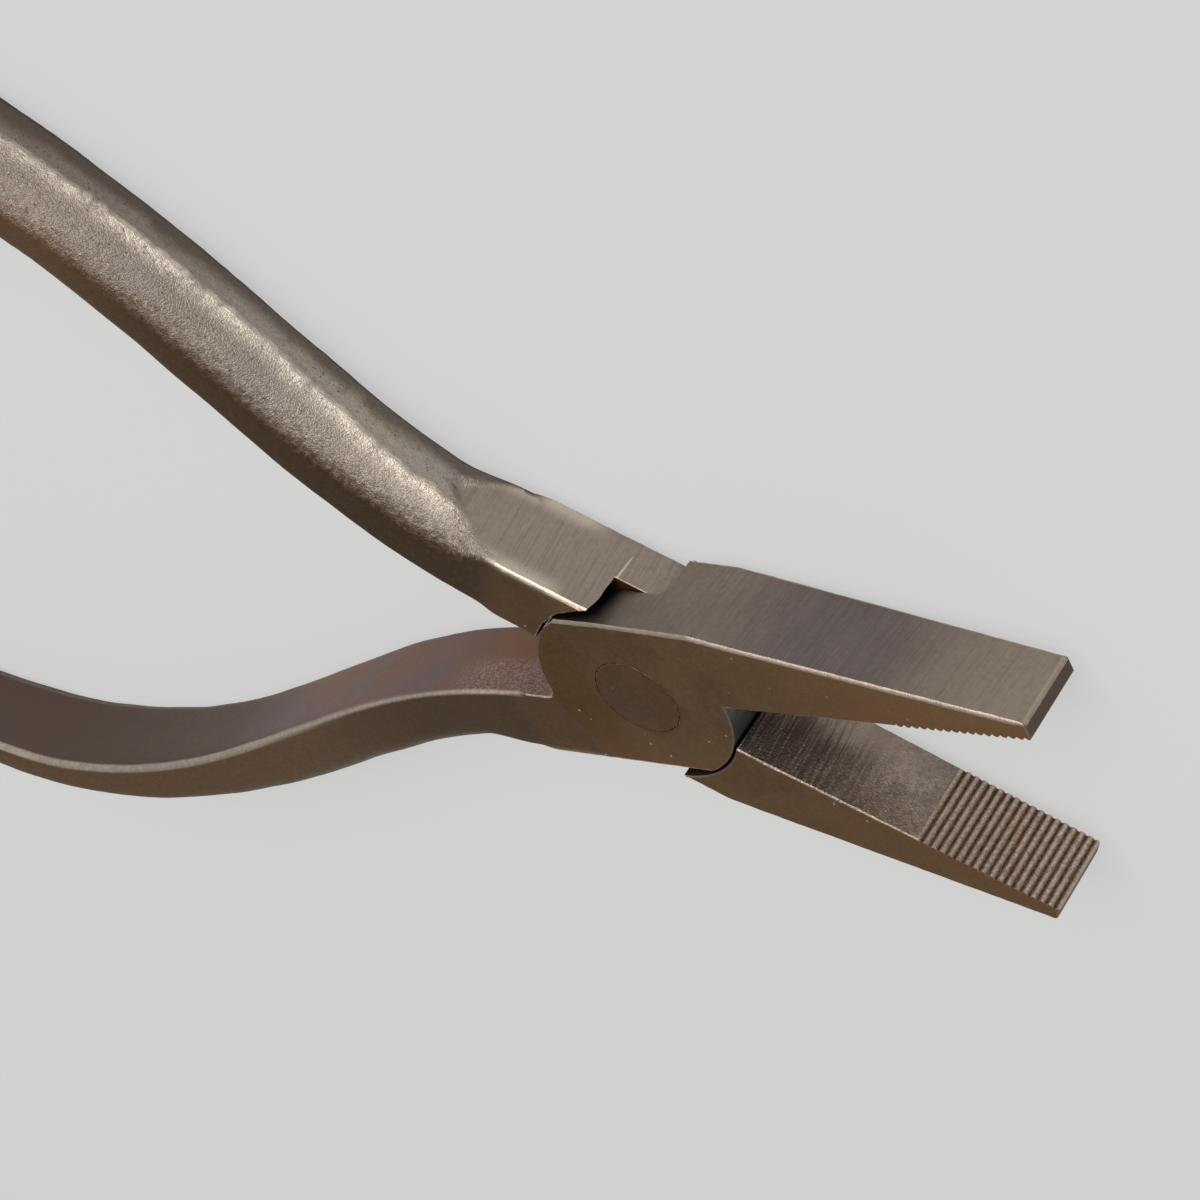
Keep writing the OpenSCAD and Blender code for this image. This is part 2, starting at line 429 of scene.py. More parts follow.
@dataclass
class BlockMesh:
    """Sharp-edged solid of a forging's joint plate, jaw and handle root, drawn up from its outline."""

    outline: Outline

    def build(self) -> bmesh.types.BMesh:
        """Makes the solid.

        Returns:
            The mesh, with each edge's wear width in its bevel weight and each face's zone as its material.
        """
        o = self.outline.joint
        self.bm = bmesh.new()
        self.weight = self.bm.edges.layers.float.new(BEVEL_WEIGHT)
        self.names, self.widths, self.plate_only, points = [], [], [], []
        for stretch in self.outline.stretches():
            for p in stretch.points[:-1]:
                self.names.append(stretch.name)
                self.widths.append(stretch.width)
                self.plate_only.append(stretch.plate_only)
                points.append(p)
        count, half, lap = len(points), o.half_thickness, o.lap_gap / 2
        self.top = [self.bm.verts.new((*p, half)) for p in points]
        self.low = [None if self.plate_only[i] and self.plate_only[i - 1] else self.bm.verts.new((*p, -half))
                    for i, p in enumerate(points)]
        self.mid = [self.bm.verts.new((*p, lap)) if self.plate_only[i] or self.plate_only[i - 1] else None
                    for i, p in enumerate(points)]
        self.bm.faces.new(self.top)
        for i in range(count):
            self.wall(i, (i + 1) % count)
        jaw_arc = self.step_wall("face", "plate_top", o.jaw_step)
        handle_arc = self.step_wall("fillet_root", "plate_low", o.handle_step)
        self.flat_faces(jaw_arc, handle_arc)
        self.bm.normal_update()
        return self.bm

    def mark(self, a: bmesh.types.BMVert, b: bmesh.types.BMVert, width: float) -> None:
        """Notes the wear width of the edge between two corners."""
        edge = self.bm.edges.get((a, b))
        edge[self.weight] = width / self.outline.edges.widest

    def wall(self, i: int, j: int) -> None:
        """Adds the upright wall under the outline from point i to point j."""
        foot = self.mid if self.plate_only[i] else self.low
        ring = [self.top[i], foot[i], foot[j], self.top[j]]
        if not self.plate_only[i]:
            ring = [self.top[i], self.mid[i], self.low[i], self.low[j], self.mid[j], self.top[j]]
        face = self.bm.faces.new([v for v in ring if v is not None])
        face.material_index = Zone.GROOVE if self.names[i] == "grooves" else Zone.GROUND
        self.mark(self.top[i], self.top[j], self.widths[i])
        self.mark(foot[i], foot[j], self.outline.edges.lap if self.plate_only[i] else self.widths[i])
        if self.names[i] in ("tip", "jaw_back") and self.names[i] != self.names[i - 1]:
            width = self.outline.edges.ground if self.names[i] == "jaw_back" else self.outline.edges.round_end
            self.mark(self.top[i], self.low[i], width)

    def step_wall(self, start: str, end: str, radius: float) -> list[tuple]:
        """Adds the curved wall that the other half's plate turns in.

        Args:
            start: Stretch at whose first point the wall starts, going anticlockwise.
            end: Stretch at whose first point the wall ends.
            radius: Radius of the wall round the pivot.

        Returns:
            The wall's (upper, lower) corners in order.
        """
        o, e = self.outline.joint, self.outline.edges
        i, j = self.names.index(start), self.names.index(end)
        first, last = self.top[i].co, self.top[j].co
        points = arc((0, 0), radius, angle_of(first.xy[:]), angle_of(last.xy[:]), o.arc_step)[1:-1]
        pairs = [(self.mid[i], self.low[i])]
        pairs += [(self.bm.verts.new((*p, o.lap_gap / 2)), self.bm.verts.new((*p, -o.half_thickness)))
                  for p in points]
        pairs.append((self.mid[j], self.low[j]))
        for (a, b), (c, d) in zip(pairs[:-1], pairs[1:]):
            self.bm.faces.new([a, c, d, b]).material_index = Zone.CUT
            self.mark(b, d, e.step)
        for upper, lower in (pairs[0], pairs[-1]):
            self.mark(upper, lower, e.corner)
        return pairs

    def between(self, start: str, end: str, ring: list) -> list:
        """Corners of a level from one stretch's first point up to another's, going anticlockwise."""
        i, j = self.names.index(start), self.names.index(end)
        return ring[i:j] if i < j else ring[i:] + ring[:j]

    def flat_faces(self, jaw_arc: list[tuple], handle_arc: list[tuple]) -> None:
        """Adds the lap face and the two back faces."""
        lap = self.between("plate_low", "face", self.mid) + [pair[0] for pair in jaw_arc[:-1]]
        lap += self.between("plate_top", "fillet_root", self.mid) + [pair[0] for pair in handle_arc[:-1]]
        jaw = self.between("face", "plate_top", self.low) + [pair[1] for pair in reversed(jaw_arc[1:])]
        handle = self.between("fillet_root", "plate_low", self.low)
        handle += [pair[1] for pair in reversed(handle_arc[1:])]
        for ring, zone in ((lap, Zone.CUT), (jaw, Zone.GROUND), (handle, Zone.GROUND)):
            self.bm.faces.new(list(reversed(ring))).material_index = zone


def new_object(name: str, mesh: bpy.types.Mesh) -> bpy.types.Object:
    """Links a new object with that mesh into the scene."""
    made = bpy.data.objects.new(name, mesh)
    bpy.context.scene.collection.objects.link(made)
    return made


def settled(piece: bpy.types.Object) -> bpy.types.Mesh:
    """The mesh that an object's modifiers make, as a mesh of its own."""
    graph = bpy.context.evaluated_depsgraph_get()
    return bpy.data.meshes.new_from_object(piece.evaluated_get(graph), depsgraph=graph)


def turned_mesh(name: str, profile: Sequence[Point], turns: int) -> bpy.types.Mesh:
    """Closed solid of revolution about the Z axis.

    Args:
        name: Name of the mesh.
        profile: (radius, height) points from the lower end to the upper end, both on the axis.
        turns: Number of points round the axis.

    Returns:
        The new mesh.
    """
    bm = bmesh.new()
    rings = []
    for radius, height in profile[1:-1]:
        angles = [math.tau * i / turns for i in range(turns)]
        rings.append([bm.verts.new((radius * math.cos(a), radius * math.sin(a), height)) for a in angles])
    for lower, upper in zip(rings[:-1], rings[1:]):
        for i in range(turns):
            j = (i + 1) % turns
            bm.faces.new([lower[i], lower[j], upper[j], upper[i]])
    for ring, (_, height), order in ((rings[0], profile[0], -1), (rings[-1], profile[-1], 1)):
        pole = bm.verts.new((0, 0, height))
        for i in range(turns):
            pair = [ring[i], ring[(i + 1) % turns]][::order]
            bm.faces.new([*pair, pole])
    mesh = bpy.data.meshes.new(name)
    bm.to_mesh(mesh)
    bm.free()
    return mesh


@dataclass
class Forging:
    """One half of the pliers: joint plate, jaw and bowed handle in one piece of steel."""

    side: Side
    joint_edge: float
    bow_y: float
    bow_pull: float
    roughness: float
    opening: float
    spread: float = 0.0
    joint: JointSizes = field(default_factory=JointSizes)
    jaw: JawSizes = field(default_factory=JawSizes)
    handle: HandleSizes = field(default_factory=HandleSizes)
    edges: EdgeWidths = field(default_factory=EdgeWidths)
    rivet: RivetSizes = field(default_factory=RivetSizes)
    rubbing: RubbedEdges = field(default_factory=RubbedEdges)
    sharp_angle: float = math.radians(28)

    @property
    def node(self) -> str:
        """Name of the CAD node that this forging stands for."""
        return f"{self.side.value}_half"

    @property
    def placement(self) -> Matrix:
        """Turn and lift from the forging's own frame to the shared frame, in millimetres."""
        turn = self.opening / 2 if self.side is Side.FRONT else -self.opening / 2
        flip = Matrix.Identity(4) if self.side is Side.FRONT else Matrix.Rotation(math.pi, 4, "X")
        lift = Matrix.Translation((0, 0, self.joint.half_thickness))
        return lift @ Matrix.Rotation(turn, 4, "Z") @ flip

    def bevelled_block(self) -> bmesh.types.BMesh:
        """Joint, jaw and root with worn edges, sliced along X so that the edges can wander."""
        outline = Outline(self.joint, self.jaw, self.handle, self.edges, self.joint_edge)
        sharp = BlockMesh(outline).build()
        mesh = bpy.data.meshes.new(f"{self.node}_block")
        sharp.to_mesh(mesh)
        sharp.free()
        piece = new_object(mesh.name, mesh)
        for _ in Zone:
            mesh.materials.append(None)
        cutter = new_object("seat_cutter", self.rivet_seat())
        cut = piece.modifiers.new("rivet seat", "BOOLEAN")
        cut.operation, cut.solver, cut.object = "DIFFERENCE", "EXACT", cutter
        bevel = piece.modifiers.new("worn edges", "BEVEL")
        bevel.limit_method = "WEIGHT"
        bevel.width = self.edges.widest
        bevel.segments = self.edges.segments
        bevel.profile = self.edges.flatness
        bevel.use_clamp_overlap = False
        bevel.material = Zone.EDGE
        bm = bmesh.new()
        bm.from_mesh(settled(piece))
        for scrap in (piece, cutter):
            bpy.data.objects.remove(scrap)
        self.slice_along(bm)
        self.thin_and_wander(bm)
        return bm

    def slice_along(self, bm: bmesh.types.BMesh) -> None:
        """Cuts the block across at even steps and at the thinning, and the step's corner for the burr."""
        start, end, step = -self.handle.root_x, self.jaw.length, self.edges.slice_step
        cuts = [start + step * i for i in range(1, int((end - start) / step))]
        for x in [*cuts, self.jaw.thinning_x]:
            whole = [*bm.verts, *bm.edges, *bm.faces]
            bmesh.ops.bisect_plane(bm, geom=whole, dist=TINY, plane_co=(x, 0, 0), plane_no=(1, 0, 0))
        for level in self.edges.burr_levels:
            beside = [f for f in bm.faces
                      if self.off_step_corner(f.calc_center_median()) < self.edges.burr_slices]
            borders = [part for f in beside for part in (*f.edges, *f.verts)]
            near = list(dict.fromkeys([*beside, *borders]))
            place = (0, 0, (level - 1) * self.joint.half_thickness)
            bmesh.ops.bisect_plane(bm, geom=near, dist=TINY, plane_co=place, plane_no=(0, 0, 1))

    def off_step_corner(self, place: Vector) -> float:
        """Distance of a place from the upright outer corner of the handle's step."""
        low = self.joint.handle_edge
        return math.dist(place.xy, (-math.sqrt(self.joint.handle_step**2 - low**2), -low))

    def burr(self, z: float) -> float:
        """How far the step's outer corner stands out over the joint at a height."""
        level, e = 1 + z / self.joint.half_thickness, self.edges
        ragged = 1 - e.burr_ragged * (0.5 + noise.noise(Vector((z / e.burr_ripple, 2, 4))))
        return e.burr * ragged * ease(level, 0.0, e.burr_full, 0, 1)

    def thin_and_wander(self, bm: bmesh.types.BMesh) -> None:
        """Lets the worn edges wander, raises the burr on the step's corner and thins the jaw to its tip."""
        half, jaw, e = self.joint.half_thickness, self.jaw, self.edges
        first_groove = jaw.length - jaw.groove_setback - jaw.groove_count * jaw.groove_pitch
        for v in bm.verts:
            x, y, z = v.co
            root = ease(x, -self.handle.root_x, -self.handle.root_x + e.root_settle, 0, 1)
            toothed = x > first_groove and y < jaw.face_y + jaw.groove_depth + e.widest
            amount = 0.0 if toothed else e.wander * root
            if x < 0 and abs(math.hypot(x, y) - self.joint.handle_step) < e.step_band and z < 0:
                amount = e.step_wander
            drift = noise.noise_vector(v.co / e.wander_scale) * amount
            if abs(abs(z) - half) < TINY:
                v.co.xy += drift.xy
            elif half - 2 * e.ground < abs(z) < half:
                v.co.z += drift.z
            if z < 2 * e.lap and self.off_step_corner(v.co) < e.burr_reach:
                v.co.x += self.burr(z)
            if x > jaw.thinning_x:
                share = (x - jaw.thinning_x) / (jaw.length - jaw.thinning_x)
                v.co.z *= 1 - share * (1 - jaw.tip_thickness / self.joint.thickness)

    def rivet_seat(self) -> bpy.types.Mesh:
        """Cutter for the countersunk hole, with the fine ring that shows round the rivet's head."""
        r, half = self.rivet, self.joint.half_thickness
        hole, seat = r.shank_radius + r.fit, r.head_radius + r.fit
        mesh = turned_mesh(f"{self.node}_seat", [
            (0, -half - r.overrun), (hole, -half - r.overrun), (hole, half - r.head_depth),
            (seat, half - r.ring_depth), (seat + r.ring_width, half), (seat + r.ring_width, half + r.overrun),
            (0, half + r.overrun)], r.turns)
        for _ in Zone:
            mesh.materials.append(None)
        for face in mesh.polygons:
            face.material_index = Zone.CUT
        return mesh

    def solid(self) -> bpy.types.Mesh:
        """The whole forging in its own frame."""
        bm = self.bevelled_block()
        loft = HandleLoft(self)
        loft.attach(bm)
        if bm.calc_volume(signed=True) < 0:
            bmesh.ops.reverse_faces(bm, faces=bm.faces)
        mesh = bpy.data.meshes.new(f"{self.node}_steel")
        bm.to_mesh(mesh)
        bm.free()
        return mesh

    def rubbed(self, middle: Vector) -> float:
        """How bright an edge is rubbed: the outer edges most, the plates' round ends and steps least."""
        jaw, r, reach = self.jaw, self.rubbing, math.hypot(middle.x, middle.y)
        if middle.x > jaw.length - r.tip_length:
            corner = abs(middle.z) > jaw.tip_thickness / 2 - r.corner_depth and middle.y < jaw.tip_height
            return r.tip_corner if corner else r.tip
        if middle.x > self.joint.jaw_step and middle.y < jaw.face_y + r.face_band:
            return r.most
        if middle.x < 0 and middle.z < 0 and abs(reach - self.joint.handle_step) < r.step_band:
            return r.step_outside if middle.y < r.outside_y else r.step
        if abs(middle.y) < r.plate_end_y and reach < self.joint.handle_step + r.plate_end_band:
            return r.plate_end
        return r.most

    def mark_zones(self, mesh: bpy.types.Mesh) -> None:
        """Writes each face corner's rubbing and painted sheen, and how forged, cut, grooved or brushed it is,
        for the steel's finish.
        """
        jaw = self.jaw
        values = {name: np.zeros(len(mesh.loops), dtype=np.float32) for name in SURFACE_MASKS}
        carried = {name: mesh.attributes[f"handle_{name}"].data for name in HANDLE_MASKS}
        first_groove = jaw.length - jaw.groove_setback - (jaw.groove_count - 0.5) * jaw.groove_pitch
        for face in mesh.polygons:
            loops = slice(face.loop_start, face.loop_start + face.loop_total)
            zone = face.material_index
            values["cut"][loops] = zone == Zone.CUT
            corners = [mesh.loops[i].vertex_index for i in range(loops.start, loops.stop)]
            facing_work = face.normal.y < -0.5 and face.center.x > self.joint.jaw_end_radius
            if zone == Zone.EDGE:
                values["worn"][loops] = self.rubbed(face.center)
            if zone == Zone.GROOVE or (facing_work and face.center.x > first_groove):
                depth = [(mesh.vertices[c].co.y - jaw.face_y) / jaw.groove_depth for c in corners]
                values["grooved"][loops] = [1 - 0.9 * min(1.0, max(0.0, d)) for d in depth]
            elif facing_work:
                values["brushed"][loops] = 1
            if zone == Zone.HANDLE:
                for name, amounts in carried.items():
                    values[name][loops] = [amounts[c].value for c in corners]
            face.material_index = 0
        for name, amounts in values.items():
            mesh.attributes.new(name, "FLOAT", "CORNER").data.foreach_set("value", amounts)

    def build(self) -> bpy.types.Object:
        """Makes the finished piece and lets it stand for its CAD node.

        Returns:
            The piece, at its place in the shared frame.
        """
        mesh = self.solid()
        self.mark_zones(mesh)
        mesh.materials.clear()
        mesh.transform(Matrix.Scale(MM, 4) @ self.placement)
        mesh.shade_smooth()
        mesh.set_sharp_from_angle(angle=self.sharp_angle)
        mesh.name = f"{self.node}_steel"
        piece = new_object(mesh.name, mesh)
        weigh = piece.modifiers.new("flat faces stay flat", "WEIGHTED_NORMAL")
        weigh.keep_sharp, weigh.weight = True, NORMAL_WEIGHT
        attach(piece, self.side.value)
        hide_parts(self.node)
        log.info("%s: %d vertices, %d faces", piece.name, len(mesh.vertices), len(mesh.polygons))
        return piece


@dataclass
class HandleLoft:
    """Bowed handle, drawn as rings that start on the root's own end and end in a rounded cap."""

    forging: Forging
    rubbing: HandleWearAndSheen = field(default_factory=HandleWearAndSheen)
    path_points: int = 2000

    def path(self, t: float) -> Vector:
        """Middle line of the handle for a share t of its run, with the bow at half way."""
        h, f = self.forging.handle, self.forging
        root_y = (f.joint.handle_edge + h.root_inner_y) / 2
        start = h.root_x - h.loft_overlap
        if t < 0.5:
            points = [(start, root_y), (start + h.root_pull, root_y), (h.bow_x - f.bow_pull, f.bow_y),
                      (h.bow_x, f.bow_y)]
            return cubic([Vector(p) for p in points], 2 * t)
        points = [(h.bow_x, f.bow_y), (h.bow_x + h.bow_lead * f.bow_pull, f.bow_y),
                  (h.length - h.end_drop, f.bow_y - h.end_drop / 2), (h.length, f.bow_y - h.end_drop)]
        return cubic([Vector(p) for p in points], 2 * t - 1)

    def stations(self) -> list[tuple[Vector, Vector, float]]:
        """Ring places along the handle.

        Returns:
            A list of (middle, direction, size share), evenly spaced, the last ones closing the rounded end.
        """
        h = self.forging.handle
        fine = [self.path(i / self.path_points) for i in range(self.path_points + 1)]
        fine = [p for p in fine if p.x > h.root_x]
        run = np.concatenate([[0.0], np.cumsum([(b - a).length for a, b in zip(fine[:-1], fine[1:])])])
        places = []
        for s in np.arange(1, int(run[-1] / h.ring_step)) * h.ring_step:
            k = int(np.searchsorted(run, s))
            share = (s - run[k - 1]) / (run[k] - run[k - 1])
            places.append((fine[k - 1].lerp(fine[k], share), (fine[k] - fine[k - 1]).normalized(), 1.0))
        middle, ahead, _ = places[-1]
        for i in range(1, h.cap_rings + 1):
            lead = math.sin(math.pi / 2 * i / h.cap_rings)
            size = math.sqrt(1 - h.cap_fullness * lead * lead)
            places.append((middle + ahead * (lead * h.end_depth / 2), ahead, size))
        return places

    def depth(self, x: float) -> float:
        """Depth of the handle at x, from its inner side to its outer side."""
        h = self.forging.handle
        root = self.forging.joint.handle_edge - h.root_inner_y
        return ease(x, h.root_x, h.middle_x, root, h.middle_depth) + ease(
            x, h.middle_x, h.thin_x, 0, h.end_depth - h.middle_depth)

    def thickness(self, x: float) -> float:
        """Thickness of the handle at x, from front to back."""
        h = self.forging.handle
        return (ease(x, h.root_x, h.middle_x, self.forging.joint.thickness, h.middle_thickness)
                + ease(x, h.middle_x, h.bow_x, 0, h.bow_thickness - h.middle_thickness)
                + ease(x, h.bow_x, h.length, 0, h.end_thickness - h.bow_thickness))

    def root_loop(self, bm: bmesh.types.BMesh) -> list[bmesh.types.BMVert]:
        """Opens the root's end and returns the corners round it, no two far apart."""
        h = self.forging.handle
        ends = [f for f in bm.faces if all(abs(v.co.x + h.root_x) < 1e-3 for v in f.verts)]
        bmesh.ops.delete(bm, geom=ends, context="FACES_ONLY")
        for edge in [e for e in bm.edges if e.is_boundary]:
            parts, origin = math.ceil(edge.calc_length() / h.ring_step), edge.verts[0]
            for i in range(parts - 1):
                _, made = bmesh.utils.edge_split(edge, origin, 1 / (parts - i))
                edge = next(e for e in made.link_edges if e.is_boundary and origin not in e.verts)
                origin = made
        loop = [next(v for v in bm.verts if v.is_boundary)]
        last = None
        while True:
            ahead = next(e for e in loop[-1].link_edges if e.is_boundary and e is not last)
            last, following = ahead, ahead.other_vert(loop[-1])
            if following is loop[0]:
                return loop
            loop.append(following)

    def facet_share(self, px: np.ndarray, z: np.ndarray) -> np.ndarray:
        """How far the ground facet beside the joint still cuts into the handle, from 1 to 0."""
        h = self.forging.handle
        lean = np.where(z > h.facet_tip[1], *h.facet_slant)
        end = h.facet_tip[0] - lean * np.abs(z - h.facet_tip[1]) ** h.facet_power
        u = np.clip((-px - end) / h.facet_fade, 0, 1)
        return 1 - u * u * (3 - 2 * u)

    def flash_lift(self, x: float, z: np.ndarray) -> tuple[np.ndarray, np.ndarray]:
        """Shape that the forging dies leave on the handle's outer side.

        Args:
            x: Distance from the pivot along the handle.
            z: Height of each ring point.

        Returns:
            Height that the dies' draft and the trimmed flash line add at each point, and how bright each
            point is painted: the flash line rubbed bright and partly a painted highlight, and a painted
                highlight on the lit strip just in front of it.
        """
        h, rub = self.forging.handle, self.rubbing
        begun = ease(x, *h.draft_range[:2], 0, 1)
        full = begun * ease(x, *h.draft_range[2:], 1, 0)
        off = z - ease(x, *h.flash_range)
        wander, ragged = ripple(x, h.flash_wander), ripple(x, h.flash_ragged, h.flash_level)
        flash = np.exp(-((off - wander) / h.flash_width) ** 2) * begun
        draft = h.draft * (h.draft_level - np.hypot(off, h.draft_round))
        lift = full * (draft + h.flash_height * ragged * flash)
        # painted highlight on the lit strip just in front of the flash line
        highlight_band = np.exp(-((off - wander + rub.highlight_band_width) / rub.highlight_band_width) ** 2) * begun
        return lift, (rub.flash * flash * ragged + rub.highlight_band * highlight_band) * ease(x, *rub.flash_fade)

    def rubbed(self, x: float, cos: np.ndarray, sin: np.ndarray, reach: np.ndarray, inner: float,
               border: np.ndarray) -> np.ndarray:
        """How brightly the handle's edges are rubbed at each point of a ring, the inner edges' bright line
        partly a painted highlight.

        Args:
            x: Distance from the pivot along the handle.
            cos: Share of each point's direction towards the outer side.
            sin: Share of each point's direction towards the back.
            reach: Distance of each point from the middle, where 1 is half the handle's width.
            inner: Squareness of the ring's inner half.
            border: How near each point is to the border of the ground facet.

        Returns:
            Shares from 0 to 1: the two inner edges, and the front edge of the root and of its facet.
        """
        h, rub = self.forging.handle, self.rubbing
        share = np.abs(reach * cos) * np.abs(reach * sin) / 2 ** (-2 / inner)
        inside = np.clip((share - ease(x, *rub.inner_start)) / rub.inner_width, 0, 1)
        inside = inside * (cos < 0) * ease(x, h.root_x, h.root_x + rub.inner_settle, 0, 1)
        inside = inside * np.where(sin > 0, ease(x, *rub.inner_back), rub.inner_front)
        broad = ease(x, h.root_x, h.near_neck_x, *rub.front_start)
        corner = np.clip((share - broad) / (rub.front_full - broad), 0, 1)
        corner = corner * ease(x, h.near_neck_x - rub.front_fade, h.neck_x, 1, 0)
        crease = border * ease(x, h.near_neck_x, h.neck_x, rub.crease, 0)
        front = np.maximum(corner, crease) * (cos > 0) * (sin < rub.front_side)
        return np.maximum(inside, front)

    def rings(self, loop: Sequence[bmesh.types.BMVert]) -> tuple[np.ndarray, dict[str, np.ndarray]]:
        """Places of the rings' points.

        Args:
            loop: Corners round the root's open end.

        Returns:
            Points as an array (ring, point, 3), and each handle mask as an array (ring, point).
        """
        h, joint, rub = self.forging.handle, self.forging.joint, self.rubbing
        root_y = (joint.handle_edge + h.root_inner_y) / 2
        across = np.array([(-v.co.y - root_y) / (self.depth(h.root_x) / 2) for v in loop])
        along = np.array([v.co.z / (self.thickness(h.root_x) / 2) for v in loop])
        reach = np.hypot(across, along)
        cos, sin = across / reach, along / reach
        points, masks = [], {name: [] for name in HANDLE_MASKS}
        for middle, ahead, size in self.stations():
            x = middle.x
            far = ease(x, h.root_x, h.neck_x, h.corner_square, h.outer_round)
            near = ease(x, h.root_x, h.near_neck_x, h.corner_square, h.near_round)
            inner = ease(x, h.root_x, h.middle_x, h.root_square, h.inner_round)
            n = np.where(cos > 0, np.where(sin > 0, far, near), inner)
            round_reach = (np.abs(cos) ** n + np.abs(sin) ** n) ** (-1 / n)
            w = ease(x, h.root_x, h.root_x + h.settle, 0, 1)
            r = (reach * (1 - w) + round_reach * w) * size
            q, z = r * cos * self.depth(x) / 2, r * sin * self.thickness(x) / 2
            lift, flash = self.flash_lift(x, z)
            outer_side = np.clip(cos * h.outer_side, 0, 1) * size
            spread = ease(x, *h.spread_range[:2], 0, 1) * ease(x, *h.spread_range[2:], 1, 0)
            q = q + lift * outer_side + self.forging.spread * spread
            px, py = -(middle.x - ahead.y * q), -(middle.y + ahead.x * q)
            straight = -(root_y + reach * cos * self.depth(h.root_x) / 2)
            py = straight * (1 - w) + py * w
            beyond = np.minimum(0.0, py + joint.handle_edge)
            facet = self.facet_share(px, z)
            py = py - beyond * facet
            points.append(np.stack([px, py, z], axis=1))
            forged = np.where(beyond < -h.facet_depth, np.minimum(w, 1 - facet), w)
            masks["forged"].append(forged)
            border = np.exp(-((facet - rub.crease_level) / rub.crease_width) ** 2)
            border = border * np.clip(-beyond / rub.crease_depth, 0, 1)
            # the inner edges' bright line: partly rubbed metal, partly a painted highlight
            masks["worn"].append(self.rubbed(x, cos, sin, round_reach, inner, border) * size)
            masks["flash"].append(flash * outer_side * forged)
        return np.array(points), {name: np.array(rows) for name, rows in masks.items()}

    def roughen(self, points: np.ndarray, forged: np.ndarray) -> np.ndarray:
        """Moves the points in and out like the hammered and scaled surface of a forging."""
        along = np.gradient(points, axis=0)
        around = np.roll(points, -1, axis=1) - np.roll(points, 1, axis=1)
        out = np.cross(along, around)
        out /= np.linalg.norm(out, axis=2, keepdims=True) + 1e-12
        middle = points.mean(axis=1, keepdims=True)
        out *= np.sign(((points - middle) * out).sum(axis=2, keepdims=True).mean())
        moved = points.copy()
        rough = self.forging.roughness
        for k, ring in enumerate(points):
            for i, p in enumerate(ring):
                place = Vector(p)
                patch = max(0.0, PATCH_LEVEL + noise.noise(place / PATCH_SIZE))
                lift = WAVE_HEIGHT * (noise.noise(place / WAVE_SIZE) - SINK)
                lift += rough * patch * PIT_HEIGHT * noise.noise(place / PIT_SIZE)
                moved[k, i] = p + out[k, i] * lift * forged[k, i]
        return moved

    def attach(self, bm: bmesh.types.BMesh) -> None:
        """Grows the handle out of the root's open end.

        Args:
            bm: The forging's block, in its own frame.
        """
        for name in HANDLE_MASKS:
            bm.verts.layers.float.new(f"handle_{name}")
        layers = {name: bm.verts.layers.float[f"handle_{name}"] for name in HANDLE_MASKS}
        loop = self.root_loop(bm)
        points, masks = self.rings(loop)
        points = self.roughen(points, masks["forged"])
        previous = loop
        for k, ring in enumerate(points):
            current = [bm.verts.new(p) for p in ring]
            for name, layer in layers.items():
                for v, amount in zip(current, masks[name][k]):
                    v[layer] = amount
            for i in range(len(loop)):
                j = (i + 1) % len(loop)
                face = bm.faces.new([previous[i], previous[j], current[j], current[i]])
                face.material_index = Zone.HANDLE
            previous = current
        bm.faces.new(previous).material_index = Zone.HANDLE


@dataclass
class Rivet:
    """Pin that holds the two joint plates, with a flush countersunk head at each face."""

    joint: JointSizes = field(default_factory=JointSizes)
    sizes: RivetSizes = field(default_factory=RivetSizes)
    sharp_angle: float = math.radians(40)

    def build(self) -> bpy.types.Object:
        """Turns the rivet and lets it stand for its CAD node."""
        r, top = self.sizes, self.joint.thickness
        rim = [(r.head_radius - r.rim_round, 0.0), (r.head_radius - r.rim_round / 3, r.rim_round / 6),
               (r.head_radius, r.rim_round), (r.shank_radius, r.head_depth)]
        profile = [(0.0, 0.0), *rim]
        profile += [(radius, top - height) for radius, height in reversed(profile)]
        mesh = turned_mesh("pivot_rivet_steel", profile, r.turns)
        mesh.transform(Matrix.Scale(MM, 4))
        mesh.shade_smooth()
        mesh.set_sharp_from_angle(angle=self.sharp_angle)
        piece = new_object(mesh.name, mesh)
        weigh = piece.modifiers.new("flat heads stay flat", "WEIGHTED_NORMAL")
        weigh.keep_sharp, weigh.weight = True, NORMAL_WEIGHT
        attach(piece, "front")
        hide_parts("pivot_rivet")
        log.info("%s: %d faces", piece.name, len(mesh.polygons))
        return piece


def linear(code: str) -> tuple[float, float, float, float]:
    """Linear colour of a hex colour code such as "#8a7a66"."""
    channels = [int(code[i:i + 2], 16) / 255 for i in (1, 3, 5)]
    return (*[c / 12.92 if c <= 0.04045 else ((c + 0.055) / 1.055) ** 2.4 for c in channels], 1.0)


